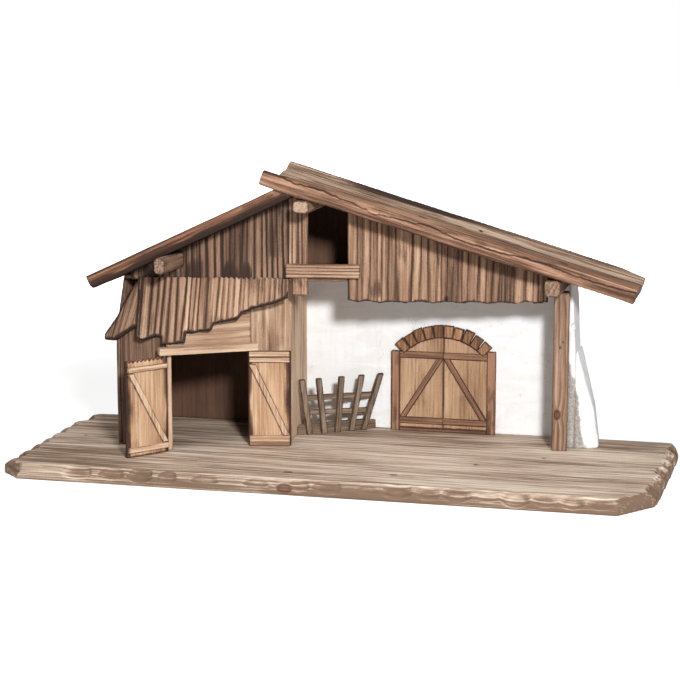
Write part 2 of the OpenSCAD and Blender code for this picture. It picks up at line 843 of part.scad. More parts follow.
// Loft and gable
module loft_floor() {
    start = room_front_left[0];
    end = right_purlin_left - set_gap;
    color("#8d7460")
        intersection() {
            translate([0, 0, loft_z])
                linear_extrude(loft_floor_t)
                    polygon([
                        [start, gable_rear_y(start)],
                        gable_place(jamb_boards_left_u, board_t), gable_place(jamb_boards_left_u, 0),
                        gable_place(loft_right_u, 0), gable_place(loft_right_u, board_t),
                        [end, gable_rear_y(end)], [end, rear_face_y],
                        [right_wall_out, rear_face_y], [right_wall_out, rear_back_y],
                        [start, rear_back_y]
                    ]);
            under_roof();
        }
}

// Boards standing in the gable from one place along it to another, from a height up
module gable_boards(from_u, to_u, from_z, depth) {
    intersection() {
        gable_frame()
            translate([from_u, 0, from_z])
                linear_extrude(ridge_h) polygon(ribbed(to_u - from_u, board_t, rib_pitch, depth));
        under_roof();
    }
}

module left_gable_boards() {
    color("#6f5847")
        difference() {
            gable_boards(left_gable_end_u, jamb_boards_left_u, loft_z, rib_depth);
            left_purlin_solid(set_gap);
        }
}

module loft_jamb_boards() {
    middle_u = jamb_boards_left_u + loft_jamb_w / 2;
    color("#b08c6f")
        difference() {
            union() {
                loft_jamb_board(jamb_boards_left_u + set_gap, middle_u - set_gap);
                loft_jamb_board(middle_u + set_gap, -loft_left);
            }
            ridge_purlin_solid(set_gap);
        }
}

module loft_jamb_board(from_u, to_u) {
    intersection() {
        gable_frame() translate([from_u, 0, loft_top_z]) cube([to_u - from_u, board_t, ridge_h]);
        under_roof();
    }
}

// The right gable between two places along it, with its ragged lower edge
module right_gable(from_u, to_u) {
    intersection() {
        gable_boards(from_u, to_u, right_gable_bottom, rib_depth / 2);
        gable_frame()
            translate([loft_right_u, board_t + over, right_gable_bottom]) rotate([90, 0, 0])
                linear_extrude(board_t + 2 * over)
                    polygon(concat(
                        sized(right_ragged_shares, right_gable_len, right_gable_drop),
                        [[right_gable_len, ridge_h], [0, ridge_h]]
                    ));
    }
}

module right_gable_inner() {
    color("#a5836a") right_gable(loft_right_u, right_gable_split_u);
}

module right_gable_outer() {
    color("#9b7a61") right_gable(right_gable_split_u + set_gap, right_gable_end_u);
}

module loft_sill() {
    groove = sill_d * sill_groove_share;
    strip = sill_h * sill_strip_share;
    step = (sill_h - strip) / (sill_strips - 1);
    color("#a08169")
        gable_frame()
            translate([sill_left_u, 0, loft_top_z]) rotate([90, 0, 90])
                linear_extrude(sill_len)
                    polygon(concat(
                        [[0, 0]],
                        [for (i = [0 : sill_strips - 1], p = [[0, 0], [0, 1]])
                            [-sill_d, i * step + p[1] * strip]],
                        [[0, sill_h]]
                    ));
}

module sill_block() {
    color("#a98d74")
        gable_frame()
            translate([jamb_boards_left_u + block_in, -block_d, loft_top_z - block_h])
                cube([block_w, block_d, block_h]);
}

// Space in front of the gable's front face
module before_gable() {
    gable_frame() translate([-base_len, -base_depth, 0]) cube([2 * base_len, base_depth, ridge_h]);
}

module front_apron() {
    color("#b5937a")
        intersection() {
            apron_frame()
                translate([0, 0, -apron_drop])
                    linear_extrude(apron_drop)
                        polygon(ribbed(apron_w, apron_t, rib_pitch, rib_depth));
            apron_frame()
                translate([0, apron_t + over, 0]) rotate([90, 0, 0])
                    linear_extrude(apron_t + 2 * over)
                        mirror([0, 1, 0])
                            polygon(concat(
                                [[0, 0]], sized(apron_edge_shares, apron_w, apron_drop), [[apron_w, 0]]
                            ));
            before_gable();
        }
}

module side_apron() {
    color("#a88870")
        difference() {
            intersection() {
                side_apron_frame()
                    translate([0, apron_t, 0]) rotate([90, 0, 0])
                        linear_extrude(apron_t)
                            mirror([0, 1, 0])
                                polygon(sized(side_apron_shares, side_apron_w, side_apron_drop));
                before_gable();
            }
            gable_frame()
                translate([-apron_left, -base_depth, 0]) cube([base_len, base_depth, ridge_h]);
        }
}

module corner_post() {
    color("#8f735c")
        translate([post_x, post_back, top_z]) rotate([0, 0, gable_turn])
            cube([post_w, post_w, post_top - top_z]);
}

// Purlins
module left_purlin() {
    color("#8d6f58") left_purlin_solid(0);
}

module ridge_purlin() {
    color("#8d6f58") ridge_purlin_solid(0);
}

module right_purlin() {
    color("#8d6f58") right_purlin_solid(0);
}

// Roof
// The left roof's outline, as deep as its planks
module left_roof_space() {
    intersection() {
        left_roof_frame()
            translate([-left_roof_len, -half_depth, 0])
                cube([base_len, half_depth + roof_rear_y, left_plank_t]);
        under_right_plane();
    }
}

// A plank of the left roof, with this outline seen from its end
module left_roof_plank(outline) {
    intersection() {
        left_plank_frame()
            translate([-base_len, 0, 0]) rotate([90, 0, 90]) linear_extrude(2 * base_len)
                polygon(outline);
        left_roof_space();
    }
}

module left_roof_front_plank() {
    edge = sized(left_edge_shares, left_plank_w, left_plank_t);
    color("#8f6a55")
        left_roof_plank(concat([[left_plank_w, 0]], edge, [[left_plank_w, left_plank_t]]));
}

module left_roof_rear_plank() {
    color("#856351")
        left_roof_plank([
            [left_plank_w, 0], [left_plank_w, left_rear_t], [base_depth, left_rear_t],
            [base_depth, 0]
        ]);
}

// A plank of the right roof: its outline from its end and its outline from above
module right_roof_plank(section, plan) {
    intersection() {
        right_plank_frame()
            translate([-base_len, 0, 0]) rotate([90, 0, 90]) linear_extrude(2 * base_len)
                polygon(section);
        right_plank_frame() linear_extrude(plank_t + lip_rise) polygon(plan);
        right_roof_frame()
            translate([-base_len, -half_depth, 0])
                cube([base_len + right_roof_len, half_depth + roof_rear_y, plank_t + lip_rise]);
    }
}

module right_roof_slab() {
    color("#b0907a")
        right_roof_plank(
            concat(
                [[slab_w, 0]], sized(slab_edge_shares, slab_w, plank_t), [[slab_w, plank_t]]
            ),
            [
                [-ridge_over, 0], [base_len, 0], [base_len, slab_w],
                [dished_start + slab_taper_len, slab_w], [dished_start, slab_tip_w],
                [-ridge_over, slab_tip_w]
            ]
        );
}

module right_roof_dished_plank() {
    back = slab_w + dished_w;
    color("#a98a74")
        right_roof_plank(
            concat(
                [[back, 0], [0, 0], [0, plank_t + dish_top_shares[0][1] * lip_rise]],
                [for (s = dish_top_shares) [slab_w + s[0] * dished_w, plank_t + s[1] * lip_rise]]
            ),
            [
                [dished_start, slab_tip_w], [dished_start + slab_taper_len, slab_w],
                [base_len, slab_w], [base_len, back], [dished_start, back]
            ]
        );
}

module right_roof_rear_plank() {
    back = slab_w + dished_w;
    color("#8b7060")
        right_roof_plank(
            [[back, 0], [base_depth, 0], [base_depth, rear_plank_t], [back, rear_plank_t]],
            [[dished_start, back], [base_len, back], [base_len, base_depth], [dished_start, base_depth]]
        );
}

// Barn door
// Places pieces flat on the rear wall: right, up, and out from a distance off the wall
module on_rear_wall(off) {
    translate([0, rear_face_y - off, 0]) rotate([90, 0, 0]) children();
}

// Space inside the arch, less a gap
module barn_arch_space() {
    intersection() {
        translate([barn_in_left, 0]) square([barn_in_w, barn_top_z + arch_rise]);
        union() {
            translate([barn_mid_x, arch_z]) circle(r = arch_r - set_gap);
            translate([barn_in_left, 0]) square([barn_in_w, arch_low_z - set_gap]);
        }
    }
}

module barn_leaf(from_x, to_x) {
    on_rear_wall(0)
        linear_extrude(barn_leaf_t)
            intersection() {
                barn_arch_space();
                translate([from_x, top_z + barn_sill_h])
                    square([to_x - from_x, barn_post_h + arch_rise]);
            }
}

module barn_rails(from_x, to_x) {
    on_rear_wall(barn_leaf_t)
        linear_extrude(barn_rail_t)
            intersection() {
                barn_arch_space();
                for (s = barn_rail_shares)
                    translate([from_x, barn_rails_z + s * barn_post_h])
                        square([to_x - from_x, barn_rail_h]);
            }
}

// A brace from a foot place to a head place between the rails
module barn_brace(foot, head) {
    low = barn_rails_z + barn_rail_shares[0] * barn_post_h + barn_rail_h;
    high = barn_rails_z + barn_rail_shares[1] * barn_post_h;
    on_rear_wall(barn_leaf_t)
        linear_extrude(barn_rail_t)
            polygon([[foot, low], [foot + barn_rail_h, low], [head + barn_rail_h, high], [head, high]]);
}

module barn_left_leaf() {
    color("#a97c55") barn_leaf(barn_in_left, barn_mid_x - set_gap);
}

module barn_right_leaf() {
    color("#a97c55") barn_leaf(barn_mid_x + set_gap, barn_in_left + barn_in_w);
}

module barn_left_rails() {
    color("#8f5f45") barn_rails(barn_in_left, barn_mid_x - set_gap);
}

module barn_right_rails() {
    color("#8f5f45") barn_rails(barn_mid_x + set_gap, barn_in_left + barn_in_w);
}

module barn_left_brace() {
    color("#8f5f45") barn_brace(barn_in_left + set_gap, barn_mid_x - set_gap - barn_rail_h);
}

module barn_right_brace() {
    color("#8f5f45")
        barn_brace(barn_in_left + barn_in_w - set_gap - barn_rail_h, barn_mid_x + set_gap);
}

module barn_left_post() {
    color("#96704f")
        on_rear_wall(0)
            translate([barn_left, top_z]) cube([barn_post_w, barn_post_h, barn_frame_t]);
}

module barn_right_post() {
    color("#96704f")
        on_rear_wall(0)
            translate([barn_in_left + barn_in_w, top_z])
                cube([barn_post_w, barn_post_h * right_post_share, barn_frame_t]);
}

module barn_threshold() {
    color("#7d5c42")
        on_rear_wall(0)
            translate([barn_in_left, top_z]) cube([barn_in_w, barn_sill_h, barn_frame_t]);
}

module arch_blocks() {
    color("#b58458")
        on_rear_wall(0)
            for (i = [0 : arch_count - 1])
                translate([barn_mid_x, arch_z]) rotate((i - (arch_count - 1) / 2) * arch_step)
                    translate([-arch_block_w / 2, arch_r])
                        cube([arch_block_w, arch_block_h, barn_frame_t]);
}

// Hay rack
// Places pieces of the leaning rack: along it, through it and up it
module rack_frame() {
    translate([rack_start[0], rack_start[1], top_z]) rotate([0, 0, rack_turn])
        rotate([rack_lean, 0, 0]) children();
}

module rack_pickets() {
    half_w = picket_w / 2;
    color("#8c7866")
        intersection() {
            rack_frame()
                for (i = [0 : len(picket_foot_shares) - 1])
                    rack_bar(picket_foot_shares[i] * rack_len - half_w,
                        picket_head_shares[i] * rack_len - half_w);
            translate([-half_len, -half_depth, top_z]) cube([base_len, base_depth, ridge_h]);
        }
}

// One picket, carried a little below its foot so that it can be cut level
module rack_bar(foot, head) {
    rotate([90, 0, 0])
        linear_extrude(picket_t)
            polygon([
                [foot, 0], [foot, -picket_t], [foot + picket_w, -picket_t], [foot + picket_w, 0],
                [head + picket_w, picket_h], [head, picket_h]
            ]);
}

module rack_rails() {
    color("#8a7462")
        rack_frame()
            for (r = rack_rail_shares)
                translate([0, rack_rail_t, 0]) rotate([90, 0, 0])
                    linear_extrude(rack_rail_t)
                        polygon([
                            [r[0] * rack_len, r[2] * picket_h], [r[1] * rack_len, r[3] * picket_h],
                            [r[1] * rack_len, r[3] * picket_h + rack_rail_h],
                            [r[0] * rack_len, r[2] * picket_h + rack_rail_h]
                        ]);
}

module rack_foot_block() {
    color("#857160")
        translate([0, 0, top_z])
            linear_extrude(rack_block_h)
                polygon([
                    rack_start, [rack_end_x(0), rack_end_y], [rack_end_x(rack_block_d), rack_end_y],
                    [rack_start[0], rack_start[1] + rack_block_d / cos(rack_turn)]
                ]);
}

base_board();
on_base() rear_wall();
on_base() stable_back_wall();
on_base() upper_back_gable();
on_base() right_wall();
on_base() buttress();
on_base() stable_left_wall();
on_base() stable_right_wall();
on_base() stable_left_panel();
on_base() door_jamb();
on_base() over_door_panel();
on_base() right_pillar_board();
on_base() door_lintel();
on_base() door_pins();
on_base() left_door_board();
on_base() left_door_battens();
on_base() left_door_brace();
on_base() right_door_board();
on_base() right_door_battens();
on_base() right_door_brace();
on_base() loft_floor();
on_base() left_gable_boards();
on_base() loft_jamb_boards();
on_base() right_gable_inner();
on_base() right_gable_outer();
on_base() loft_sill();
on_base() sill_block();
on_base() front_apron();
on_base() side_apron();
on_base() corner_post();
on_base() left_purlin();
on_base() ridge_purlin();
on_base() right_purlin();
on_base() left_roof_front_plank();
on_base() left_roof_rear_plank();
on_base() right_roof_slab();
on_base() right_roof_dished_plank();
on_base() right_roof_rear_plank();
on_base() barn_left_leaf();
on_base() barn_right_leaf();
on_base() barn_left_rails();
on_base() barn_right_rails();
on_base() barn_left_brace();
on_base() barn_right_brace();
on_base() barn_left_post();
on_base() barn_right_post();
on_base() barn_threshold();
on_base() arch_blocks();
on_base() rack_pickets();
on_base() rack_rails();
on_base() rack_foot_block();
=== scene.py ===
import math
import bmesh
import bpy
import numpy as np
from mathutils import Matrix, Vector
from mathutils.kdtree import KDTree


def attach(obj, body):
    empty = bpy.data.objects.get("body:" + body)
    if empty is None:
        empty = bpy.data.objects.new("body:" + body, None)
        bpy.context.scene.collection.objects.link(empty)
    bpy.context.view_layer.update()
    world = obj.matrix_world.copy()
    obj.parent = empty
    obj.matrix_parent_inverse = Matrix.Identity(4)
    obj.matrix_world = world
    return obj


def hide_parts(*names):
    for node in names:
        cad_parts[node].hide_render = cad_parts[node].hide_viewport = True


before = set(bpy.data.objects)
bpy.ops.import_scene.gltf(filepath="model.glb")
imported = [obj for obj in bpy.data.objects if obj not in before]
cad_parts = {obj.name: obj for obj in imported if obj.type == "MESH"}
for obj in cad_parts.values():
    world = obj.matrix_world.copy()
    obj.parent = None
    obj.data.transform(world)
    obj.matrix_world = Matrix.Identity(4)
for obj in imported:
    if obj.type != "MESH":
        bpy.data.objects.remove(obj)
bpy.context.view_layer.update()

# The looks of the nativity stable. Places are in metres, but local ones in millimetres.
MM = 0.001
PER_METRE = 1000


# Noise
CELL_PRIMES = (73856093, 19349663, 83492791)
SEED_PRIME = 2654435761
MIX_PRIMES = (2246822519, 3266489917)
LOW_32_BITS = 0xFFFFFFFF
LOW_20_BITS = 0xFFFFF


def lattice(cells, seed):
    """A value from 0 to 1 for each whole-numbered cell (n, 3)."""
    mixed = seed * SEED_PRIME & LOW_32_BITS
    for k, prime in enumerate(CELL_PRIMES):
        mixed = mixed ^ cells[:, k] * prime
    mixed = mixed & LOW_32_BITS
    mixed = ((mixed ^ (mixed >> 15)) * MIX_PRIMES[0]) & LOW_32_BITS
    mixed = ((mixed ^ (mixed >> 13)) * MIX_PRIMES[1]) & LOW_32_BITS
    return ((mixed ^ (mixed >> 16)) & LOW_20_BITS) / float(LOW_20_BITS)


def own_value(index, seed):
    """A value from 0 to 1 for each numbered rib, strip or block."""
    return lattice(np.stack([index.astype(np.int64)] * 3, axis=1), seed)


def noise(points, seed=0):
    """Smooth noise from -1 to 1 at points (n, 3)."""
    cells = np.floor(points).astype(np.int64)
    part = points - cells
    part = part * part * (3 - 2 * part)
    total = np.zeros(len(points))
    for dx in (0, 1):
        for dy in (0, 1):
            for dz in (0, 1):
                wx = part[:, 0] if dx else 1 - part[:, 0]
                wy = part[:, 1] if dy else 1 - part[:, 1]
                wz = part[:, 2] if dz else 1 - part[:, 2]
                total += wx * wy * wz * lattice(cells + np.array([dx, dy, dz]), seed)
    return total * 2 - 1


def layered(points, seed=0, octaves=3):
    """Noise with finer layers, each half as strong as the one before."""
    total, size, norm = np.zeros(len(points)), 1.0, 0.0
    for k in range(octaves):
        total += size * noise(points * 2 ** k, seed + 31 * k)
        norm += size
        size *= 0.5
    return total / norm


def rise(value, start, end):
    """From 0 at start to 1 at end, with soft ends."""
    t = np.clip((value - start) / (end - start), 0, 1)
    return t * t * (3 - 2 * t)


# Local frames
FAR = 99.0


def unit(vector):
    vector = np.array(vector, float)
    return vector / np.linalg.norm(vector)


class Axes:
    """Local frame: along the grain, across it, and through the piece."""

    def __init__(self, along, across, origin=(0, 0, 0)):
        self.along = unit(along)
        self.across = unit(across)
        self.through = unit(np.cross(self.along, self.across))
        self.origin = np.array(origin, float)

    def local(self, places):
        shifted = (places - self.origin) * PER_METRE
        return shifted @ self.along, shifted @ self.across, shifted @ self.through


class Spots:
    """What reliefs, burns and painted shades know of a piece's points: their places in its local
    frame, in millimetres, and the parts of their normals along its axes. A relief may leave marks
    here for the burns and painted shades that come after it, and any of them may set the tone."""

    def __init__(self, axes, co, normals):
        self.along, self.across, self.depth = axes.local(co)
        self.n_along = normals @ axes.along
        self.n_across = normals @ axes.across
        self.n_depth = normals @ axes.through
        self.co = co
        self.from_edge = np.full(len(co), FAR)
        self.tone = 0.0


def waves(at, along, across, depth):
    """Points for noise, from waves per millimetre in each direction."""
    return np.stack([at.along * along, at.across * across, at.depth * depth], axis=1)


UP = (0, 0, 1)
RIGHT = (1, 0, 0)
BACK = (0, 1, 0)
# How far the door's wall and the gable turn from the base board's length, in degrees
DOOR_TURN = 31.8
GABLE_TURN = 9.1
RACK_TURN = 36.5
PANEL_TURN = -12
# How far each leaf is open in the photo, in degrees
LEFT_OPEN = 160
RIGHT_OPEN = 162


def turned(angle):
    radians = math.radians(angle)
    return np.array([math.cos(radians), math.sin(radians), 0.0])


def leaning(yaw, flare, origin):
    """Frame of a board that leans out of a wall turned by yaw: up it, along it, into it."""
    flare = math.radians(flare)
    inward = np.cross(UP, turned(yaw))
    return Axes(inward * math.sin(flare) + np.array([0, 0, math.cos(flare)]), turned(yaw), origin)


def roof_axes(pitch, side):
    """Frame of a roof's planks: along the front edge, back over the roof, out of it."""
    pitch = math.radians(pitch)
    down = np.array([math.cos(pitch), 0, -side * math.sin(pitch)])
    skew = math.atan(math.tan(math.radians(GABLE_TURN)) * math.cos(pitch))
    along = down * math.cos(skew) + np.array([0, math.sin(skew), 0])
    across = -down * math.sin(skew) + np.array([0, math.cos(skew), 0])
    return Axes(along, across, RIDGE)


# Places that the frames start from, in metres
RIDGE = (-0.0531, -0.021643, 0.2994)
BASE_TOP = 0.016
# How far right of the base board's middle the building stands
BUILDING_SHIFT = 0.0046
GABLE_FRONT = (BUILDING_SHIFT, 0.0311, 0)
DOOR_CORNER = (-0.1872, -0.033, 0)
PANEL_CORNER = (-0.25225, -0.01917, 0)
APRON_CORNER = (-0.23139, -0.0067, 0.2065)
RACK_CORNER = (-0.0729, 0.070, BASE_TOP)
GABLE_AXES = Axes(UP, turned(GABLE_TURN), GABLE_FRONT)
SILL_AXES = Axes(turned(GABLE_TURN), UP, GABLE_FRONT)
DOOR_AXES = Axes(UP, turned(DOOR_TURN), DOOR_CORNER)
LINTEL_AXES = Axes(turned(DOOR_TURN), UP, DOOR_CORNER)
PANEL_AXES = Axes(UP, turned(PANEL_TURN), PANEL_CORNER)
REAR_AXES = Axes(UP, RIGHT, (BUILDING_SHIFT, 0.129, 0))
SIDE_AXES = Axes(UP, BACK, (0.2416, 0, 0))
APRON_AXES = leaning(GABLE_TURN, 28.4, APRON_CORNER)
SIDE_APRON_AXES = leaning(-27.3, 22.5, APRON_CORNER)
RIGHT_ROOF = roof_axes(17.54, 1)
LEFT_ROOF = roof_axes(25.3, -1)
LEFT_LEAF = Axes(UP, turned(DOOR_TURN - LEFT_OPEN), (-0.192226, -0.042352, 0))
RIGHT_LEAF = Axes(UP, turned(DOOR_TURN + RIGHT_OPEN - 180), (-0.110127, 0.008552, 0))
POST_AXES = Axes(UP, turned(GABLE_TURN), (0.2201, 0.0624, BASE_TOP))
RACK_AXES = Axes(UP, turned(RACK_TURN), RACK_CORNER)
BLOCK_AXES = Axes(turned(RACK_TURN), UP, RACK_CORNER)
BASE_AXES = Axes(RIGHT, BACK, (0, 0, BASE_TOP))


# Materials
def new_material(name):
    material = bpy.data.materials.new(name)
    material.use_nodes = True
    tree = material.node_tree
    tree.nodes.clear()
    out = tree.nodes.new("ShaderNodeOutputMaterial")
    shader = tree.nodes.new("ShaderNodeBsdfPrincipled")
    tree.links.new(shader.outputs[0], out.inputs[0])
    return material, tree, shader


class Graph:
    """Short forms for the nodes that the materials are made of."""

    def __init__(self, tree):
        self.tree = tree

    def put(self, socket, value):
        if isinstance(value, bpy.types.NodeSocket):
            self.tree.links.new(value, socket)
        else:
            socket.default_value = value

    def math(self, operation, first, second=0.0, clamp=False):
        node = self.tree.nodes.new("ShaderNodeMath")
        node.operation = operation
        node.use_clamp = clamp
        self.put(node.inputs[0], first)
        self.put(node.inputs[1], second)
        return node.outputs[0]

    def add(self, first, second):
        return self.math("ADD", first, second)

    def sub(self, first, second, clamp=False):
        return self.math("SUBTRACT", first, second, clamp)

    def mul(self, first, second, clamp=False):
        return self.math("MULTIPLY", first, second, clamp)

    def swing(self, source, amount):
        """A noise moved to zero mean and scaled."""
        return self.mul(self.sub(source, 0.5), amount)

    def noise(self, place, waves_per_unit, detail=3.0, rough=0.55, distortion=0.0):
        scale = self.tree.nodes.new("ShaderNodeVectorMath")
        scale.operation = "MULTIPLY"
        self.put(scale.inputs[0], place)
        scale.inputs[1].default_value = waves_per_unit
        node = self.tree.nodes.new("ShaderNodeTexNoise")
        self.put(node.inputs["Vector"], scale.outputs[0])
        node.inputs["Scale"].default_value = 1.0
        node.inputs["Detail"].default_value = detail
        node.inputs["Roughness"].default_value = rough
        node.inputs["Distortion"].default_value = distortion
        return node.outputs[0]

    def attribute(self, name):
        node = self.tree.nodes.new("ShaderNodeAttribute")
        node.attribute_name = name
        return node.outputs["Vector"]

    def split(self, vector):
        node = self.tree.nodes.new("ShaderNodeSeparateXYZ")
        self.put(node.inputs[0], vector)
        return node.outputs[0], node.outputs[1], node.outputs[2]

    def ramp(self, factor, stops):
        node = self.tree.nodes.new("ShaderNodeValToRGB")
        self.put(node.inputs[0], factor)
        elements = node.color_ramp.elements
        while len(elements) < len(stops):
            elements.new(0.5)
        for k, (position, colour) in enumerate(stops):
            elements[k].position = position
            elements[k].color = (*colour, 1)
        return node.outputs[0]

    def step(self, value, start, end):
        node = self.tree.nodes.new("ShaderNodeMapRange")
        node.interpolation_type = "SMOOTHSTEP"
        self.put(node.inputs["Value"], value)
        node.inputs["From Min"].default_value = start
        node.inputs["From Max"].default_value = end
        return node.outputs[0]

    def mix(self, factor, under, over):
        node = self.tree.nodes.new("ShaderNodeMix")
        node.data_type = "RGBA"
        self.put(node.inputs["Factor"], factor)
        self.put(node.inputs[6], under if not isinstance(under, tuple) else (*under, 1))
        self.put(node.inputs[7], over if not isinstance(over, tuple) else (*over, 1))
        return node.outputs[2]

    def bump(self, shader, height, strength, distance):
        node = self.tree.nodes.new("ShaderNodeBump")
        node.inputs["Strength"].default_value = strength
        node.inputs["Distance"].default_value = distance
        self.put(node.inputs["Height"], height)
        self.put(shader.inputs["Normal"], node.outputs[0])


def srgb(*channels):
    """Colour written as sRGB bytes, as linear light."""
    values = (c / 255 for c in channels)
    return tuple(v / 12.92 if v <= 0.04045 else ((v + 0.055) / 1.055) ** 2.4 for v in values)


# Names of what each piece's points carry: places along the grain; burn and painted shade, knot and
# tone
GRAIN = "grain"
MARKS = "marks"
# The darkest mark colour: char for scorch, and also the colour of painted shade
CHAR_AND_SHADE = srgb(48, 34, 28)
# A knot's colour, as shares of the wood's dark colour
KNOT_SHARES = (0.55, 0.36, 0.33)
GREY_MARK = srgb(150, 142, 134)
CRACK = srgb(170, 164, 158)


def wood(name, light, mid, dark, ring=0.2, ring_amount=0.3, streak=0.9, stain=0.6, rough=0.7,
         bump=0.5, coarse=0.45, dense=1.0):
    """Stained softwood. ring: growth bands per millimetre across the grain; streak: contrast of
    its fibres; stain: contrast of its broad patches; coarse: fibres per millimetre; dense: how
    much finer they are into the depth. Its three colours are sRGB bytes."""
    light, mid, dark = srgb(*light), srgb(*mid), srgb(*dark)
    material, tree, shader = new_material(name)
    net = Graph(tree)
    place = net.attribute(GRAIN)
    burn_and_shade, knot, tone = net.split(net.attribute(MARKS))
    across, depth = net.split(place)[1:]
    warp = net.noise(place, (0.006, 0.03, 0.03), 3)
    fibre = net.noise(place, (coarse / 32, coarse, coarse * dense), 5, 0.68)
    hair = net.noise(place, (0.07, 2.6, 2.6), 3, 0.65)
    broad = net.noise(place, (0.006, 0.035, 0.035), 3, 0.6)
    speck = net.noise(place, (0.5, 0.9, 0.9), 4, 0.7)

    band = net.add(net.mul(across, ring), net.mul(warp, 3.0))
    band = net.math("FRACT", net.add(band, net.mul(depth, ring * 0.6)))
    rings = net.mul(net.step(band, 0.1, 0.85), net.step(band, 1.0, 0.88))
    rings = net.mul(rings, net.add(0.35, net.step(broad, 0.35, 0.65)))
    shade = net.mul(rings, ring_amount)
    for source, amount in ((fibre, streak * 2.2), (broad, stain * 1.6), (speck, 0.5), (hair, 0.5)):
        shade = net.add(shade, net.swing(source, amount))
    shade = net.sub(net.add(shade, 0.42), net.mul(tone, 0.6), clamp=True)
    colour = net.ramp(shade, [(0.0, light), (0.48, mid), (1.0, dark)])
    colour = net.mix(net.mul(net.step(hair, 0.6, 0.72), 0.35), colour, dark)
    heart = net.mul(knot, net.add(0.7, net.mul(fibre, 0.5)), clamp=True)
    colour = net.mix(heart, colour, tuple(d * s for d, s in zip(dark, KNOT_SHARES)))

    # Marks darken towards char: scorch, and painted shade where a piece's marks stand for shade
    scorch_and_shade_level = net.add(net.add(burn_and_shade, net.swing(fibre, 1.1)), net.swing(speck, 0.5))
    there = net.step(burn_and_shade, 0.02, 0.25)
    warm = tuple(0.6 * d + 0.4 * c for d, c in zip(dark, CHAR_AND_SHADE))
    colour = net.mix(net.mul(net.step(scorch_and_shade_level, 0.1, 0.7), there), colour, warm)
    colour = net.mix(net.mul(net.step(scorch_and_shade_level, 0.55, 1.1), there), colour, CHAR_AND_SHADE)
    net.put(shader.inputs["Base Color"], colour)
    net.put(shader.inputs["Roughness"], net.add(rough - 0.12, net.mul(fibre, 0.3)))
    net.put(shader.inputs["Specular IOR Level"], 0.28)
    height = net.add(net.mul(fibre, 1.2), net.mul(hair, 0.4))
    height = net.sub(net.add(height, net.mul(speck, 0.4)), net.mul(rings, 0.3))
    net.bump(shader, height, bump, 0.8 * MM)
    return material


def plaster(name, base, shade):
    """Trowelled lime plaster: broad strokes, fine sand, hairline cracks, greyer where its marks say.
    """
    material, tree, shader = new_material(name)
    net = Graph(tree)
    place = net.attribute(GRAIN)
    burn_and_shade = net.split(net.attribute(MARKS))[0]
    stroke = net.noise(place, (0.05, 0.016, 0.05), 4, 0.55, 1.2)
    sand = net.noise(place, (0.5, 0.5, 0.5), 4, 0.65)
    crack = net.noise(place, (0.02, 0.03, 0.03), 3, 0.5, 0.4)
    line = net.math("ABSOLUTE", net.sub(crack, 0.5))
    line = net.mul(net.sub(1.0, net.step(line, 0.0, 0.006)), net.step(stroke, 0.5, 0.6))
    colour = net.mix(net.step(stroke, 0.42, 0.66), base, shade)
    grey_level = net.add(burn_and_shade, net.swing(sand, 1.1))
    colour = net.mix(net.mul(net.step(grey_level, 0.2, 0.9), net.step(burn_and_shade, 0.03, 0.3)), colour, GREY_MARK)
    colour = net.mix(net.mul(line, 0.35), colour, CRACK)
    net.put(shader.inputs["Base Color"], colour)
    net.put(shader.inputs["Roughness"], net.add(0.78, net.mul(sand, 0.2)))
    net.put(shader.inputs["Specular IOR Level"], 0.2)
    net.bump(shader, net.add(sand, net.mul(stroke, 1.2)), 0.4, 0.9 * MM)
    return material


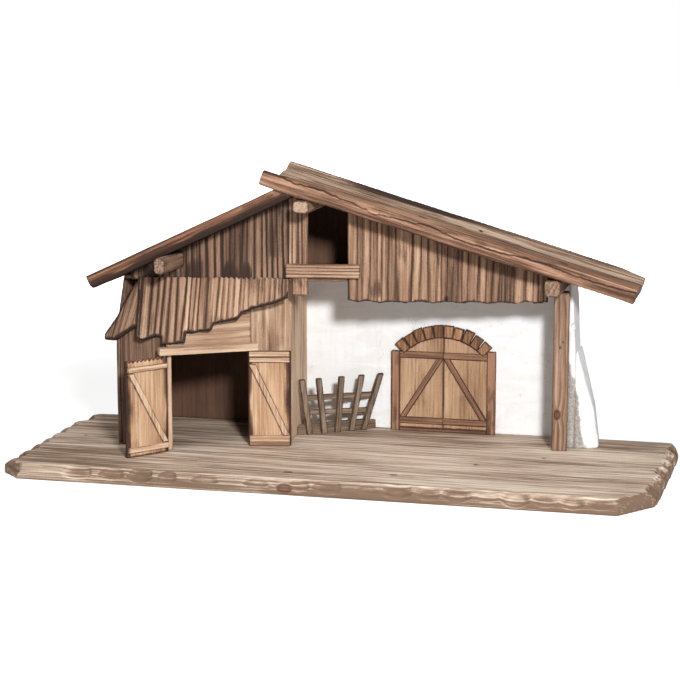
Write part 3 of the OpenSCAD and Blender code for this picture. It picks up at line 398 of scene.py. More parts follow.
MATERIALS = {
    "base": wood("base pine", (220, 204, 187), (184, 163, 144), (122, 98, 80), ring=0.1,
                 ring_amount=0.15, streak=1.7, stain=0.8, rough=0.72, coarse=0.24, dense=2.5),
    "roof": wood("roof board", (184, 146, 119), (140, 104, 81), (76, 50, 37), ring=0.12,
                 ring_amount=0.2, streak=1.5, stain=0.9, coarse=0.3, bump=0.7),
    "roof_grey": wood("weathered roof board", (206, 182, 159), (168, 141, 119), (98, 75, 59),
                      ring=0.13, streak=1.3, stain=0.9, coarse=0.35, bump=0.9),
    "roof_red": wood("reddish roof board", (164, 120, 92), (122, 82, 60), (66, 44, 33), ring=0.15,
                     streak=1.2, stain=0.9, coarse=0.3, bump=0.7),
    "wall": wood("stable board", (158, 128, 106), (124, 96, 78), (80, 58, 46)),
    # Inside boards: colours darkened as painted shade for the room and the loft
    "inside": wood("inside board with painted shade", (124, 92, 74), (102, 74, 58), (72, 50, 39), ring=0.1,
                   ring_amount=0.05, streak=0.3, stain=0.7, coarse=0.3),
    "light": wood("light board", (216, 190, 164), (186, 156, 130), (132, 98, 75), ring=0.1,
                  ring_amount=0.2, streak=0.8, stain=1.1, coarse=0.25),
    "gable": wood("brushed board", (206, 172, 143), (156, 122, 98), (84, 60, 47), ring=0.3,
                  ring_amount=0.1, streak=0.6, stain=0.8, coarse=0.4, bump=0.8),
    "gable_dark": wood("scorched board", (166, 132, 108), (116, 88, 70), (62, 44, 34), ring=0.3,
                       ring_amount=0.1, streak=0.5, stain=0.8, coarse=0.4, bump=0.7),
    "door": wood("door board", (216, 186, 156), (188, 152, 120), (134, 94, 66), ring=0.22,
                 ring_amount=0.2, streak=0.6, stain=0.9, coarse=0.55),
    "batten": wood("door batten", (220, 192, 164), (190, 158, 130), (136, 102, 78), ring=0.25),
    "beam": wood("beam", (184, 156, 134), (150, 120, 99), (102, 76, 60), ring=0.18, streak=0.8),
    "barn": wood("barn board", (202, 170, 140), (172, 138, 108), (124, 90, 66), ring=0.22,
                 ring_amount=0.15, streak=0.5, stain=1.1, coarse=0.5),
    "barn_dark": wood("barn batten", (162, 122, 96), (132, 96, 74), (90, 62, 48), ring=0.25,
                      ring_amount=0.35),
    "arch": wood("arch block", (182, 140, 106), (146, 106, 76), (96, 66, 46), ring=0.3,
                 ring_amount=0.35),
    "rack": wood("rack stick", (158, 138, 120), (126, 106, 88), (86, 68, 54), ring=0.3),
    "plaster": plaster("plaster", srgb(236, 237, 238), srgb(230, 230, 229)),
}


# Dressing
OUTLINE_STEP = 0.6 * MM
SAME_POINT = 1e-6
# Each piece's grain starts at random, up to this far off
GRAIN_START = 400


def outline_tree(source, angle):
    """Points along the edges of a CAD mesh that are sharper than angle."""
    mesh = bmesh.new()
    mesh.from_mesh(source.data)
    bmesh.ops.remove_doubles(mesh, verts=mesh.verts, dist=SAME_POINT)
    points = []
    for edge in mesh.edges:
        if len(edge.link_faces) == 2 and edge.calc_face_angle(0) > angle:
            start, end = edge.verts[0].co, edge.verts[1].co
            count = max(1, int((end - start).length / OUTLINE_STEP))
            points += [start.lerp(end, k / count) for k in range(count + 1)]
    mesh.free()
    tree = KDTree(len(points))
    for k, point in enumerate(points):
        tree.insert(point, k)
    tree.balance()
    return tree


def remeshed(source, voxel):
    """An even mesh of the CAD node's shape, apart from it."""
    work = bpy.data.objects.new("work", source.data.copy())
    bpy.context.scene.collection.objects.link(work)
    grid = work.modifiers.new("grid", "REMESH")
    grid.mode = "VOXEL"
    grid.voxel_size = voxel * MM
    grid.adaptivity = 0
    graph = bpy.context.evaluated_depsgraph_get()
    mesh = bpy.data.meshes.new_from_object(work.evaluated_get(graph))
    bpy.data.objects.remove(work)
    return mesh


def relax(mesh, co, rounds):
    """Evens out the voxel steps: each point goes half way to its neighbours' mean."""
    ends = np.empty(len(mesh.edges) * 2, np.int64)
    mesh.edges.foreach_get("vertices", ends)
    ends = ends.reshape(-1, 2)
    count = np.bincount(ends.ravel(), minlength=len(co)).astype(float)
    for _ in range(rounds):
        total = np.zeros_like(co)
        for k in range(3):
            total[:, k] = (np.bincount(ends[:, 0], co[ends[:, 1], k], len(co))
                           + np.bincount(ends[:, 1], co[ends[:, 0], k], len(co)))
        co = co + (total / count[:, None] - co) / 2
    return co


def store(mesh, name, data):
    attribute = mesh.attributes.new(name, "FLOAT_VECTOR", "POINT")
    attribute.data.foreach_set("vector", np.ascontiguousarray(data, dtype=np.float32).ravel())


def dress(node, material, axes, voxel=1.2, seed=0, rough=0.25, wave=0.0, tone=0.0,
          knots=(), face=None, shape=None, scorch_and_shade=None, body="stable", rounds=2, grow=0.15,
          angle=50):
    """A worn copy of a CAD node, in its place: an even mesh with its relief cut in, and what
    its material needs kept at its points. grow, rough and wave move its surface by so many
    millimetres; face cuts a relief into its front, shape moves any point and scorch_and_shade
    darkens it with scorch and, on some pieces, painted shade. Each knot is its place along and
    across, its radius and, for some, its depth."""
    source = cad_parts[node]
    mesh = remeshed(source, voxel)
    count = len(mesh.vertices)
    co = np.empty(count * 3)
    mesh.vertices.foreach_get("co", co)
    co = relax(mesh, co.reshape(-1, 3), rounds)
    mesh.vertices.foreach_set("co", co.ravel())
    mesh.update()
    normals = np.empty(count * 3)
    mesh.vertices.foreach_get("normal", normals)
    normals = normals.reshape(-1, 3)
    at = Spots(axes, co, normals)
    if scorch_and_shade:
        tree = outline_tree(source, math.radians(angle))
        if len(tree.find_n((0, 0, 0), 1)):
            at.from_edge = np.array([tree.find(place)[2] for place in co]) * PER_METRE
    push = grow + rough * layered(waves(at, 0.03, 0.35, 0.35), seed, 3)
    push += wave * layered(waves(at, 0.018, 0.05, 0.05), seed + 7, 2)

    knot = np.zeros(count)
    bent = at.across.copy()
    for (along, across, radius, *depth) in knots:
        off_along, off_across = (at.along - along) / 1.5, at.across - across
        off_depth = at.depth - depth[0] if depth else 0
        off = np.sqrt(off_along * off_along + off_across * off_across + off_depth * off_depth)
        bent += np.sign(off_across) * radius * 0.7 * np.exp(-(off / (radius * 1.7)) ** 2)
        ring = rise(-off, -radius * 1.1, -radius * 0.8)
        knot = np.maximum(knot, ring - 0.2 * rise(-off, -radius * 0.7, -radius * 0.3))
        push -= 0.4 * np.exp(-(off / (radius * 0.9)) ** 2)
    shift = np.zeros(count)
    if face:
        target, share = face(at)
        shift = (target - at.depth) * share
    moved = co + normals * (push * MM)[:, None] + axes.through * (shift * MM)[:, None]
    if shape:
        moved = moved + shape(at)
    burn_and_shade = np.maximum(0, scorch_and_shade(at)) if scorch_and_shade else np.zeros(count)
    tones = tone + 0.12 * layered(waves(at, 0.004, 0.02, 0.02), seed + 5, 2) + at.tone

    mesh.vertices.foreach_set("co", moved.ravel())
    start = np.random.default_rng(seed + 1000).uniform(-GRAIN_START, GRAIN_START, 3)
    store(mesh, GRAIN, np.stack([at.along + start[0], bent + start[1], at.depth + start[2]], axis=1))
    store(mesh, MARKS, np.stack([burn_and_shade, knot, tones], axis=1))
    mesh.update()
    mesh.materials.clear()
    mesh.materials.append(MATERIALS[material])
    mesh.shade_smooth()
    piece = bpy.data.objects.new(node + "_worn", mesh)
    bpy.context.scene.collection.objects.link(piece)
    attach(piece, body)
    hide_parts(node)


# Reliefs, burns and painted shade
# How far behind a face its relief still moves points
FACE_RELIEF = 3.0


def front_only(at, deepest):
    """Keeps a relief to the face and to the wood no deeper than deepest."""
    return rise(-at.n_depth, 0.25, 0.7) * rise(deepest - at.depth, 0, 0.8)


def top_off(at, top):
    """Fades a relief out towards a board's upper end at top."""
    return 1 if top is None else 0.25 + 0.75 * rise(top - at.along, 0, 4)


def ribbed(pitch, depth, seed, deepest=FACE_RELIEF, jitter=0.5, sand=0.12, uneven=0.22, top=None,
           crest=0.9):
    """Front face brushed into rounded ribs of uneven width along the grain, their crests paler."""
    def face(at):
        rib = at.across / pitch + jitter * noise(waves(at, 0.003, 0.4 / pitch, 0), seed)
        rib = rib + 0.22 * noise(waves(at, 0.012, 1.1 / pitch, 0), seed + 1)
        own = own_value(np.floor(rib), seed)
        off_middle = 2 * (rib - np.floor(rib)) - 1
        at.groove = (1 - np.sqrt(1 - 0.98 * off_middle * off_middle)) * (0.6 + 0.4 * own)
        at.tone = uneven * (own - 0.5) + crest * (0.3 - at.groove)
        bumps = sand * layered(waves(at, 0.4, 0.5, 0.5), seed + 2)
        return (depth * at.groove + bumps) * top_off(at, top), front_only(at, deepest)
    return face


def brushed(pitch, depth, seed):
    """Front face with irregular shallow furrows along the grain."""
    def face(at):
        broad = noise(waves(at, 0.006, 1 / pitch, 0), seed)
        fine = noise(waves(at, 0.012, 2.3 / pitch, 0), seed + 1)
        groove = np.exp(-(broad / 0.26) ** 2) + 0.45 * np.exp(-(fine / 0.2) ** 2)
        bumps = 0.12 * layered(waves(at, 0.05, 0.5, 0.5), seed + 2)
        return depth * np.clip(groove, 0, 1.2) + bumps, front_only(at, FACE_RELIEF)
    return face


def furrows(amount, power=0.75):
    """Dark bottoms of the furrows that the face relief cut."""
    def scorch_and_shade(at):
        return amount * np.clip(at.groove - 0.02, 0, 1) ** power
    return scorch_and_shade


def patches(seed, amount, size=30, where=None):
    """Scorched patches, longer along the grain."""
    def scorch_and_shade(at):
        cloud = layered(waves(at, 0.5 / size, 1 / size, 0), seed, 3)
        return amount * rise(cloud, -0.05, 0.45) * (where(at) if where else 1)
    return scorch_and_shade


def end_grain(pale, side=0.0):
    """Pale cut ends and, with side, a darker or lighter long face."""
    def scorch_and_shade(at):
        at.tone = np.where(np.abs(at.n_along) > 0.7, pale, side)
        return np.zeros(len(at.along))
    return scorch_and_shade


def both(*parts):
    """The strongest of several burns and painted shades."""
    def scorch_and_shade(at):
        return np.clip(np.max([part(at) for part in parts], axis=0), 0, 1)
    return scorch_and_shade


def near_edges(width, amount, seed=0, where=None):
    """Darkened along the sharp edges: scorch, and on the door battens and the barn door's parts also
    painted shade in the gaps between parts.
    """
    def scorch_and_shade(at):
        uneven = width * (1 + 0.6 * layered(waves(at, 0.03, 0.15, 0.15), seed + 60, 2))
        burn_and_shade = amount * np.clip(1.15 - at.from_edge / uneven, 0, 1)
        return burn_and_shade * (where(at) if where else 1)
    return scorch_and_shade


def ragged(amount, pitch, seed):
    """Lower ends torn a little more than the solid's outline."""
    def shape(at):
        tear = amount * (0.5 + 0.5 * layered(waves(at, 0, 1 / pitch, 0.1), seed, 3))
        return np.array(UP) * (tear * rise(-at.n_along, 0.2, 0.8) * MM)[:, None]
    return shape


# Base board, in millimetres from its middle and its top
BASE_THICK = 16
FRONT_EDGE = -137
# Places along the left and the right edge, and where the edge is there
LEFT_EDGE = ((-137, -115, 78, 125, 135), (-334, -352.7, -354.5, -346, -275))
RIGHT_EDGE = ((-90, -70, 60, 122), (347, 349.2, 353.4, 354.5))
# Gouged facets along the front edge and the right one: middle, half length and depth
FRONT_FACETS = ((-262, 20, 7), (-222, 17, 6), (-190, 15, 8), (-160, 13, 6), (-118, 20, 5),
                (-62, 18, 5), (-16, 14, 6), (14, 18, 7), (56, 16, 5), (88, 17, 8), (120, 15, 7),
                (150, 17, 8), (182, 14, 6), (210, 17, 9), (240, 15, 7), (268, 14, 8), (296, 16, 7))
SIDE_FACETS = ((-72, 20, 8), (-32, 17, 6), (2, 18, 8), (40, 16, 6), (74, 19, 7), (112, 16, 6))
FACET_GAIN = 1.35
# Their cuts start at half of the solid's own chamfer
HALF_CHAMFER = 3.2
# The left end's scallops: where the first starts, their pitch and how far in they reach
SCALLOP_START = -115
SCALLOP_PITCH = 34
SCALLOP_REACH = 5.5
# How deep the left end's edge is cut, and how much deeper in a scallop
LEFT_CUT = 7
SCALLOP_CUT = 6
# Only what lies nearer to an edge than this is hewn
HEWN_BAND = 16


def facet_cut(place, facets):
    """How far gouged facets reach down from an edge at places along it."""
    cut = np.zeros(len(place))
    for middle, half, deep in facets:
        bow = np.sqrt(np.clip(1 - ((place - middle) / half) ** 2, 0, 1))
        cut = np.maximum(cut, FACET_GAIN * deep * bow)
    return cut


def base_shape(at):
    """Hewn edges: scallops cut into the left end, gouged facets along the front and right edges.
    The solid's own chamfer is 6.4 mm, and each cut goes a little deeper than that."""
    along, across, depth = at.along, at.across, at.depth
    wave = 0.5 + 0.5 * layered(waves(at, 0.02, 0.02, 0), 211, 2)
    place = (across - SCALLOP_START) / SCALLOP_PITCH + 0.25 * (np.sin(across / 41) + 0.33)
    part = place - np.floor(place)
    scallop = (1 - (2 * part - 1) ** 2) * (0.6 + 0.6 * wave)
    left = np.interp(across, *LEFT_EDGE)
    right = np.interp(across, *RIGHT_EDGE)
    move = np.zeros((len(along), 3))
    move[:, 0] = np.clip(left + 0.4 + SCALLOP_REACH * scallop - along, 0, 9)
    at.cut = np.zeros(len(along))
    at.needed = np.zeros(len(along))
    front_cut = HALF_CHAMFER + facet_cut(along, FRONT_FACETS)
    right_cut = HALF_CHAMFER + facet_cut(across, SIDE_FACETS)
    left_cut = LEFT_CUT + SCALLOP_CUT * scallop
    for reach, cut, way in ((across - FRONT_EDGE, front_cut, (0, 1)),
                            (right - along, right_cut, (-1, 0)),
                            (along - left - SCALLOP_REACH * scallop, left_cut, (1, 0))):
        need = np.clip(cut + 0.8 * wave - (reach - depth), 0, None) / 2 * (reach < HEWN_BAND)
        move[:, 0] += need * way[0]
        move[:, 1] += need * way[1]
        move[:, 2] -= need
        at.cut = np.maximum(at.cut, rise(need, 0.2, 0.9))
        at.needed = np.maximum(at.needed, need)
    move[:, 2] = np.maximum(move[:, 2], np.minimum(0, -BASE_THICK - depth))
    return move * MM


def base_tone(at):
    """Sides painted darker than the top as shade, most towards the right, with growth rings where
    they are cut, and a scorched upper edge.
    """
    face = rise(np.abs(at.n_across) + np.abs(at.n_along), 0.4, 0.8)
    streak = layered(waves(at, 0.004, 0.03, 0), 12, 3)
    rings = np.cos(2 * np.pi * at.needed / 2.4 + 2.5 * streak)
    own = noise(waves(at, 0.035, 0.035, 0), 14)
    lip = np.exp(-((at.needed - 0.7) / 0.5) ** 2) * (at.depth < -8)
    # painted shade: face darkens the sides against the top, more towards the right
    at.tone = (0.5 * streak - (0.45 + 0.75 * rise(at.along, -100, 150)) * face - 0.12
               - 0.2 * rise(-at.along, 120, 300)
               - at.cut * (0.4 + 0.6 * own + 0.22 * rings) + 0.9 * lip)
    edge = np.clip(1.1 - at.from_edge / 1.6, 0, 1) * (at.depth > -9)
    edge = edge * (0.5 + 0.5 * noise(waves(at, 0.03, 0.03, 0.1), 9))
    return np.clip(0.5 * edge + at.cut * (0.14 + 0.2 * own + 0.1 * rings) * (1 - lip), 0, 1)


dress("base_board", "base", BASE_AXES, voxel=1.5, seed=1, rough=0.14, wave=0.12,
      scorch_and_shade=base_tone, shape=base_shape, grow=0.0,
      knots=((-31, -137, 6.2, -8.0), (-36.9, -99.7, 4), (216.4, 27.2, 1.8), (-308, 13, 1.6),
             (-243, -27, 1.6), (74, -84, 3.2), (-80, 40, 3), (150, -20, 2.2)))


# Walls
# Heights, and where the buttress's grey part ends there
GREY_LINE = ((17, 73, 104.5, 126.6), (255.6, 245.6, 239.4, 233.4))


def grey_left_of_line(at):
    """The buttress's front face, greyer left of a slanting line."""
    line = np.interp(at.co[:, 2] * PER_METRE, *GREY_LINE)
    line = line + 2.5 * layered(waves(at, 0.12, 0.12, 0), 24, 2)
    return 0.75 * rise(-at.n_across, 0.1, 0.5) * rise(line - at.co[:, 0] * PER_METRE, -1, 2)


def inner_face_painted_shade(at):
    """Inner face painted darker as the shade of the room and the loft, outer face lighter."""
    at.tone = 0.5 - 0.9 * rise(-at.n_depth, 0.3, 0.7)
    return np.zeros(len(at.along))


dress("rear_wall", "plaster", REAR_AXES, voxel=1.7, seed=20, rough=0.3, wave=0.5,
      rounds=3)
dress("right_wall", "plaster", SIDE_AXES, voxel=1.6, seed=21, rough=0.35, wave=0.5,
      rounds=3, scorch_and_shade=grey_left_of_line)
dress("buttress", "plaster", SIDE_AXES, voxel=1.5, seed=22, rough=0.5, wave=0.7,
      scorch_and_shade=grey_left_of_line)
dress("stable_back_wall", "inside", REAR_AXES, voxel=1.7, seed=30, rough=0.3,
      scorch_and_shade=inner_face_painted_shade)
dress("upper_back_gable", "inside", REAR_AXES, voxel=1.9, seed=35, rough=0.3,
      face=brushed(9, 0.4, 36), scorch_and_shade=inner_face_painted_shade)
dress("stable_left_wall", "wall", Axes(UP, BACK), voxel=1.6, seed=40, rough=0.3,
      scorch_and_shade=both(near_edges(4, 0.5, 41), patches(42, 0.3)))
dress("stable_right_wall", "light", Axes(UP, BACK), voxel=1.5, seed=45, tone=0.4,
      scorch_and_shade=near_edges(3, 0.4, 46))
dress("stable_left_panel", "wall", PANEL_AXES, seed=50, rough=0.3,
      face=brushed(8, 0.4, 51), scorch_and_shade=both(near_edges(3, 0.5, 52), patches(53, 0.3)))
dress("over_door_panel", "light", LINTEL_AXES, seed=55, rough=0.3, tone=-0.35,
      scorch_and_shade=near_edges(3, 0.4, 56))
dress("right_pillar_board", "light", DOOR_AXES, voxel=1.1, seed=60, tone=-0.1,
      face=brushed(9, 0.25, 61), scorch_and_shade=both(near_edges(2.5, 0.55, 62), patches(63, 0.3, 22)))
dress("door_jamb", "light", DOOR_AXES, voxel=0.8, seed=65, rough=0.12,
      tone=-0.15, grow=-0.1, scorch_and_shade=near_edges(1.6, 0.6, 66))
dress("door_lintel", "light", LINTEL_AXES, voxel=0.8, seed=70, rough=0.12,
      tone=0.4, grow=-0.1, scorch_and_shade=near_edges(1.0, 0.5, 71))


# Loft and gable
# The grooved sill's foot, and its strips
SILL_BOTTOM = 206.5
SILL_STRIP = 3.63
SILL_STRIPS = 4
# The right gable's boards are scorched most below this height
GABLE_ENDS = 190
# The left gable's scorched part: how far left it starts, and the height that it ends at
SCORCHED_LEFT = (78, 100)
SCORCHED_TOP = 275
# The front apron's furrows are palest past this place across it
APRON_FADE = 110
# How far down the front apron its foot starts
APRON_FOOT = (12, 22)


def sill_strips(at):
    """The sill's face is four strips with dark joints."""
    strip = (at.across - SILL_BOTTOM) / SILL_STRIP
    joint = np.round(strip)
    at.groove = np.exp(-((strip - joint) / 0.13) ** 2) * (joint > 0) * (joint < SILL_STRIPS)
    at.tone = 0.25 * (own_value(np.floor(strip), 5) - 0.5)
    return at.depth.max() - 0.9 * at.groove, rise(at.n_depth, 0.4, 0.8)


def apron_furrows(at):
    """Deeply scorched furrows that fade towards the apron's narrow end."""
    return furrows(1.6)(at) * (0.45 + 0.55 * rise(APRON_FADE - at.across, 0, 70))


def gable_left(at):
    """The left part of the left gable."""
    return rise(-at.across, *SCORCHED_LEFT) * rise(SCORCHED_TOP - at.along, 0, 30)


dress("loft_floor", "wall", Axes(RIGHT, BACK), voxel=1.7, seed=80, rough=0.3)
dress("left_gable_boards", "gable_dark", GABLE_AXES, voxel=1.0, seed=82,
      rough=0.15, tone=-0.1, face=ribbed(7.2, 2.2, 83, jitter=0.8, uneven=0.5),
      scorch_and_shade=both(furrows(1.5), near_edges(4, 0.6, 85), patches(84, 0.5, 30),
                 patches(86, 0.8, 26, gable_left)))
dress("loft_jamb_boards", "gable", GABLE_AXES, voxel=0.9, seed=90, rough=0.2,
      tone=-0.15, face=ribbed(5.4, 0.9, 91), scorch_and_shade=both(furrows(1.0), near_edges(1.6, 0.6, 92)))
for k, (node, pitch) in enumerate((("right_gable_inner", 8.5), ("right_gable_outer", 7.0))):
    dress(node, "gable", GABLE_AXES, voxel=1.0, seed=100 + k, rough=0.15,
          tone=-0.36, face=ribbed(pitch, 1.4, 103 + k, jitter=1.0, sand=0.35, uneven=0.6, crest=0.6),
          shape=ragged(1.8, 3.5, 105 + k),
          scorch_and_shade=both(furrows(0.95), patches(107 + k, 0.5, 24),
                     near_edges(3.4, 1.2, 109 + k, lambda at: rise(GABLE_ENDS - at.along, 0, 6)),
                     near_edges(1.5, 0.6, 111 + k)))
dress("loft_sill", "gable", SILL_AXES, voxel=0.6, seed=115, rough=0.12,
      tone=0.25, face=sill_strips, angle=40,
      scorch_and_shade=both(furrows(0.95, 1.0), near_edges(1.2, 0.6, 116)))
dress("sill_block", "gable", GABLE_AXES, voxel=0.8, seed=118, rough=0.35,
      tone=0.05, scorch_and_shade=both(near_edges(1.6, 0.7, 119), patches(120, 0.4, 8)))
dress("front_apron", "gable", APRON_AXES, voxel=0.9, seed=120, rough=0.15,
      tone=-0.2, shape=ragged(2.0, 3.0, 122),
      face=ribbed(7.0, 2.1, 121, deepest=2.6, jitter=0.6, uneven=0.7, top=0, crest=1.4),
      scorch_and_shade=both(apron_furrows, patches(123, 0.4, 30),
                 near_edges(3.8, 1.2, 124, lambda at: rise(-at.along, *APRON_FOOT))))
dress("side_apron", "gable", SIDE_APRON_AXES, voxel=0.9, seed=130, rough=0.2,
      tone=-0.25, face=ribbed(8.0, 0.9, 131, deepest=2.4, jitter=0.6, top=0),
      scorch_and_shade=both(furrows(0.45), near_edges(3.4, 1.1, 133)))


# Post and purlins
dress("corner_post", "beam", POST_AXES, voxel=0.9, seed=140, wave=0.3,
      scorch_and_shade=both(near_edges(1.8, 0.45, 142), end_grain(-0.2)),
      knots=((41, 5, 4.2), (116, 7, 1.3), (122, 10, 1.0)))
for k, node in enumerate(("left_purlin", "ridge_purlin", "right_purlin")):
    dress(node, "beam", Axes(BACK, RIGHT), voxel=0.9, seed=150 + k, rough=0.35,
          wave=0.7, scorch_and_shade=both(end_grain(0.2, -0.3), near_edges(2.2, 0.8, 155 + k),
                               patches(158 + k, 0.35, 9)))


# Right roof
# Places along the front slab, and the height of its seam there
SEAM = ((-38, -23, -7, -3, 16, 33, 50, 64, 91, 118, 151, 192, 230, 274, 309, 342, 390),
        (15, 15.5, 14, 12.9, 14, 14.5, 12.6, 12, 8.2, 11.5, 13, 9.2, 10.5, 13, 10.9, 10.6, 13))
# Tool marks in the dish: place along, place across, half length and half width
GOUGES = ((24, 50, 16, 3), (40, 56, 9, 2.5), (116, 62, 9, 3), (178, 70, 16, 2.5), (183, 68, 6, 4),
          (240, 60, 22, 2), (250, 60, 7, 4), (300, 62, 14, 2), (320, 60, 5, 3), (70, 74, 18, 2),
          (206, 84, 3, 2))
GOUGE_WIDEN = 2.6
GOUGE_DEPTH = 1.3
# The dished plank's far lip: places across its slope and its crest, and its burnt stretch
LIP_SLOPE = (91, 96)
LIP_CREST = (100.5, 102.5)
LIP_START = (10, 90)
LIP_END = 300


def above_seam(at):
    """How far points lie above the slab's seam."""
    return at.depth - (np.interp(at.along, *SEAM) + 0.6 * noise(waves(at, 0.2, 0, 0), 172))


def waney(at):
    """The slab's front: undulating, and stepped back above the line where its bark edge ends."""
    front = rise(-at.n_across, 0.1, 0.6)
    uneven = layered(waves(at, 0.011, 0, 0.02), 171, 3)
    above = rise(above_seam(at), -0.4, 0.6) * rise(14 - at.across, 0, 4)
    under = rise(-at.n_depth, 0.3, 0.7) * rise(16 - at.across, 0, 8)
    dip = noise(waves(at, 0.022, 0, 0), 173)
    back = front * (0.9 + 1.5 * uneven) + 1.1 * above
    return (RIGHT_ROOF.across * (back * MM)[:, None]
            + RIGHT_ROOF.through * (under * (0.8 + 0.8 * dip) * MM)[:, None])


def slab_tones(at):
    """Brown bark edge below the seam, greyer sawn wood above it, a dark line between."""
    off = above_seam(at)
    near = rise(16 - at.across, 0, 4)
    at.tone = np.where(off > 0, 0.05, -0.3)
    line = np.exp(-((off - 0.5) / 0.9) ** 2)
    return 0.85 * line * near * rise(-at.n_across + at.n_depth, 0.3, 0.8)


def burnt_lip(at):
    """The scorched inner slope of the dished plank's far lip."""
    sway = 3 * noise(waves(at, 0.02, 0, 0), 167)
    inner = rise(at.across, LIP_SLOPE[0] + sway, LIP_SLOPE[1] + sway)
    inner = inner * rise(at.along, *LIP_START) * rise(LIP_END - at.along, 0, 150)
    crest = rise(at.across, *LIP_CREST) * (0.4 + 0.6 * rise(at.n_depth, 0, 0.4))
    return np.maximum(inner * 1.1, crest)


def gouges(at):
    """Torn tool marks along the dish."""
    mark = np.zeros(len(at.along))
    for along, across, length, width in GOUGES:
        off_along = (at.along - along) / length
        off_across = (at.across - across - 1.5 * np.sin(at.along / 9)) / (GOUGE_WIDEN * width)
        far = off_along * off_along + off_across * off_across
        mark = np.maximum(mark, np.exp(-far * 1.4))
    at.gouge = mark * rise(at.n_depth, 0.3, 0.7)
    return -RIGHT_ROOF.through * (GOUGE_DEPTH * at.gouge * MM)[:, None]


def sides_and_under(at):
    """Everything but a plank's upper face."""
    return rise(-at.n_depth + 0.3, 0.0, 0.6)


dress("right_roof_slab", "roof", RIGHT_ROOF, voxel=1.1, seed=160, rough=0.35,
      wave=0.6, shape=waney, knots=((300, 30, 4), (140, 34, 4)),
      scorch_and_shade=both(slab_tones, near_edges(3, 0.6, 161, sides_and_under),
                 patches(162, 0.35, 16, lambda at: rise(at.n_depth, 0.2, 0.6))))
dress("right_roof_dished_plank", "roof_grey", RIGHT_ROOF, voxel=1.1, seed=165,
      rough=0.5, wave=0.5, tone=0.05, shape=gouges,
      scorch_and_shade=both(burnt_lip, lambda at: 0.9 * at.gouge, patches(168, 0.3, 14),
                 near_edges(3, 0.6, 166, sides_and_under)))
dress("right_roof_rear_plank", "roof", RIGHT_ROOF, voxel=1.5, seed=170,
      rough=0.3, wave=0.4, tone=-0.2, scorch_and_shade=near_edges(3, 0.4, 174))


# Left roof
# Where the planed tip starts, along the roof
TIP_START = (-28, -8)


def left_roof_marks(at):
    """Painted shade under its lower edge, and a pale planed tip beside the ridge."""
    at.tone = 0.55 * rise(at.along, *TIP_START) * rise(at.depth, 4, 9)
    # painted shade along the front and underside of the lower edge
    low = rise(8.5 - at.depth + 1.2 * noise(waves(at, 0.04, 0, 0), 178), 0, 4)
    return np.clip(0.8 * low, 0, 1) * rise(-at.n_across - at.n_depth, 0.2, 0.7)


def left_waney(at):
    """The front plank's undulating edge."""
    front = rise(-at.n_across, 0.1, 0.6)
    uneven = layered(waves(at, 0.014, 0, 0.03), 179, 3)
    return LEFT_ROOF.across * (front * (0.9 + 1.3 * uneven) * MM)[:, None]


dress("left_roof_front_plank", "roof_red", LEFT_ROOF, voxel=1.1, seed=175,
      rough=0.35, wave=0.6, shape=left_waney,
      scorch_and_shade=both(left_roof_marks, near_edges(2.5, 0.6, 176), patches(177, 0.45, 12)))
dress("left_roof_rear_plank", "roof_red", LEFT_ROOF, voxel=1.5, seed=180,
      rough=0.3, wave=0.5, tone=-0.1, scorch_and_shade=near_edges(3, 0.4, 182))


# Stable doors
# The battens are scorched brown below this height
LOW_BATTEN = 22
# The left leaf's teeth
TOOTH_PITCH = 5.2
TOOTH_DEPTH = 2.6
TOOTH_BAND = (119.5, 122.5)
# The braces' slope
BRACE_ALONG = 0.42
BRACE_UP = 0.9


def door_edges(at):
    """Scorched all round, widest along the sides."""
    side = np.minimum(at.across - at.across.min(), at.across.max() - at.across)
    width = 5.5 * (1 + 0.7 * layered(waves(at, 0.03, 0.1, 0), 202, 2))
    rim = np.maximum(0.95 * np.clip(1.15 - side / width, 0, 1), near_edges(2.5, 0.85, 204)(at))
    return np.clip(rim + patches(203, 0.3, 14)(at), 0, 1)


def batten_marks(at):
    """Dark outlines, which are scorch and painted shade in the gaps between parts, and the lowest
    strip scorched brown.
    """
    low = rise(LOW_BATTEN - at.across, 0, 1.5)
    at.tone = -0.9 * low
    return np.maximum(near_edges(1.0, 0.95, 205)(at), 0.3 * low)


def torn_top(at):
    """The left leaf's serrated upper end."""
    teeth = np.abs((at.across / TOOTH_PITCH) % 1 - 0.5) * 2
    drop = TOOTH_DEPTH * teeth * rise(at.along, *TOOTH_BAND)
    return np.array(UP) * (-drop * MM)[:, None]


for side, axes, seed, lean in (("left", LEFT_LEAF, 200, 1), ("right", RIGHT_LEAF, 210, -1)):
    body = side + "_door"
    slope = axes.across * BRACE_ALONG + np.array([0, 0, BRACE_UP * lean])
    dress(side + "_door_board", "door", axes, voxel=0.7, seed=seed, rough=0.2,
          body=body, rounds=1, scorch_and_shade=door_edges, shape=torn_top if lean > 0 else None)
    dress(side + "_door_battens", "batten", Axes(axes.across, UP, axes.origin),
          voxel=0.5, seed=seed + 1, rough=0.1, body=body, rounds=1, grow=0.0, tone=0.1,
          scorch_and_shade=batten_marks)
    dress(side + "_door_brace", "batten", Axes(slope, axes.across, axes.origin),
          voxel=0.5, seed=seed + 2, rough=0.1, body=body, rounds=1, grow=0.05, tone=0.15,
          scorch_and_shade=near_edges(1.0, 0.9, seed + 6))


# Barn door
# The arch: its middle, the height it turns about, its inner radius, degrees between blocks
ARCH_MIDDLE = 81.0
ARCH_HEIGHT = 63.8
ARCH_RADIUS = 63.02
ARCH_STEP = 8.655
ARCH_BLOCKS = 10
ARCH_FAN = 1.085
BLOCK_LENGTH = 14.5
BARN_BRACE = (0.55, 0.83)
POST_DROP = 3.6
POST_BAND = (90, 112)


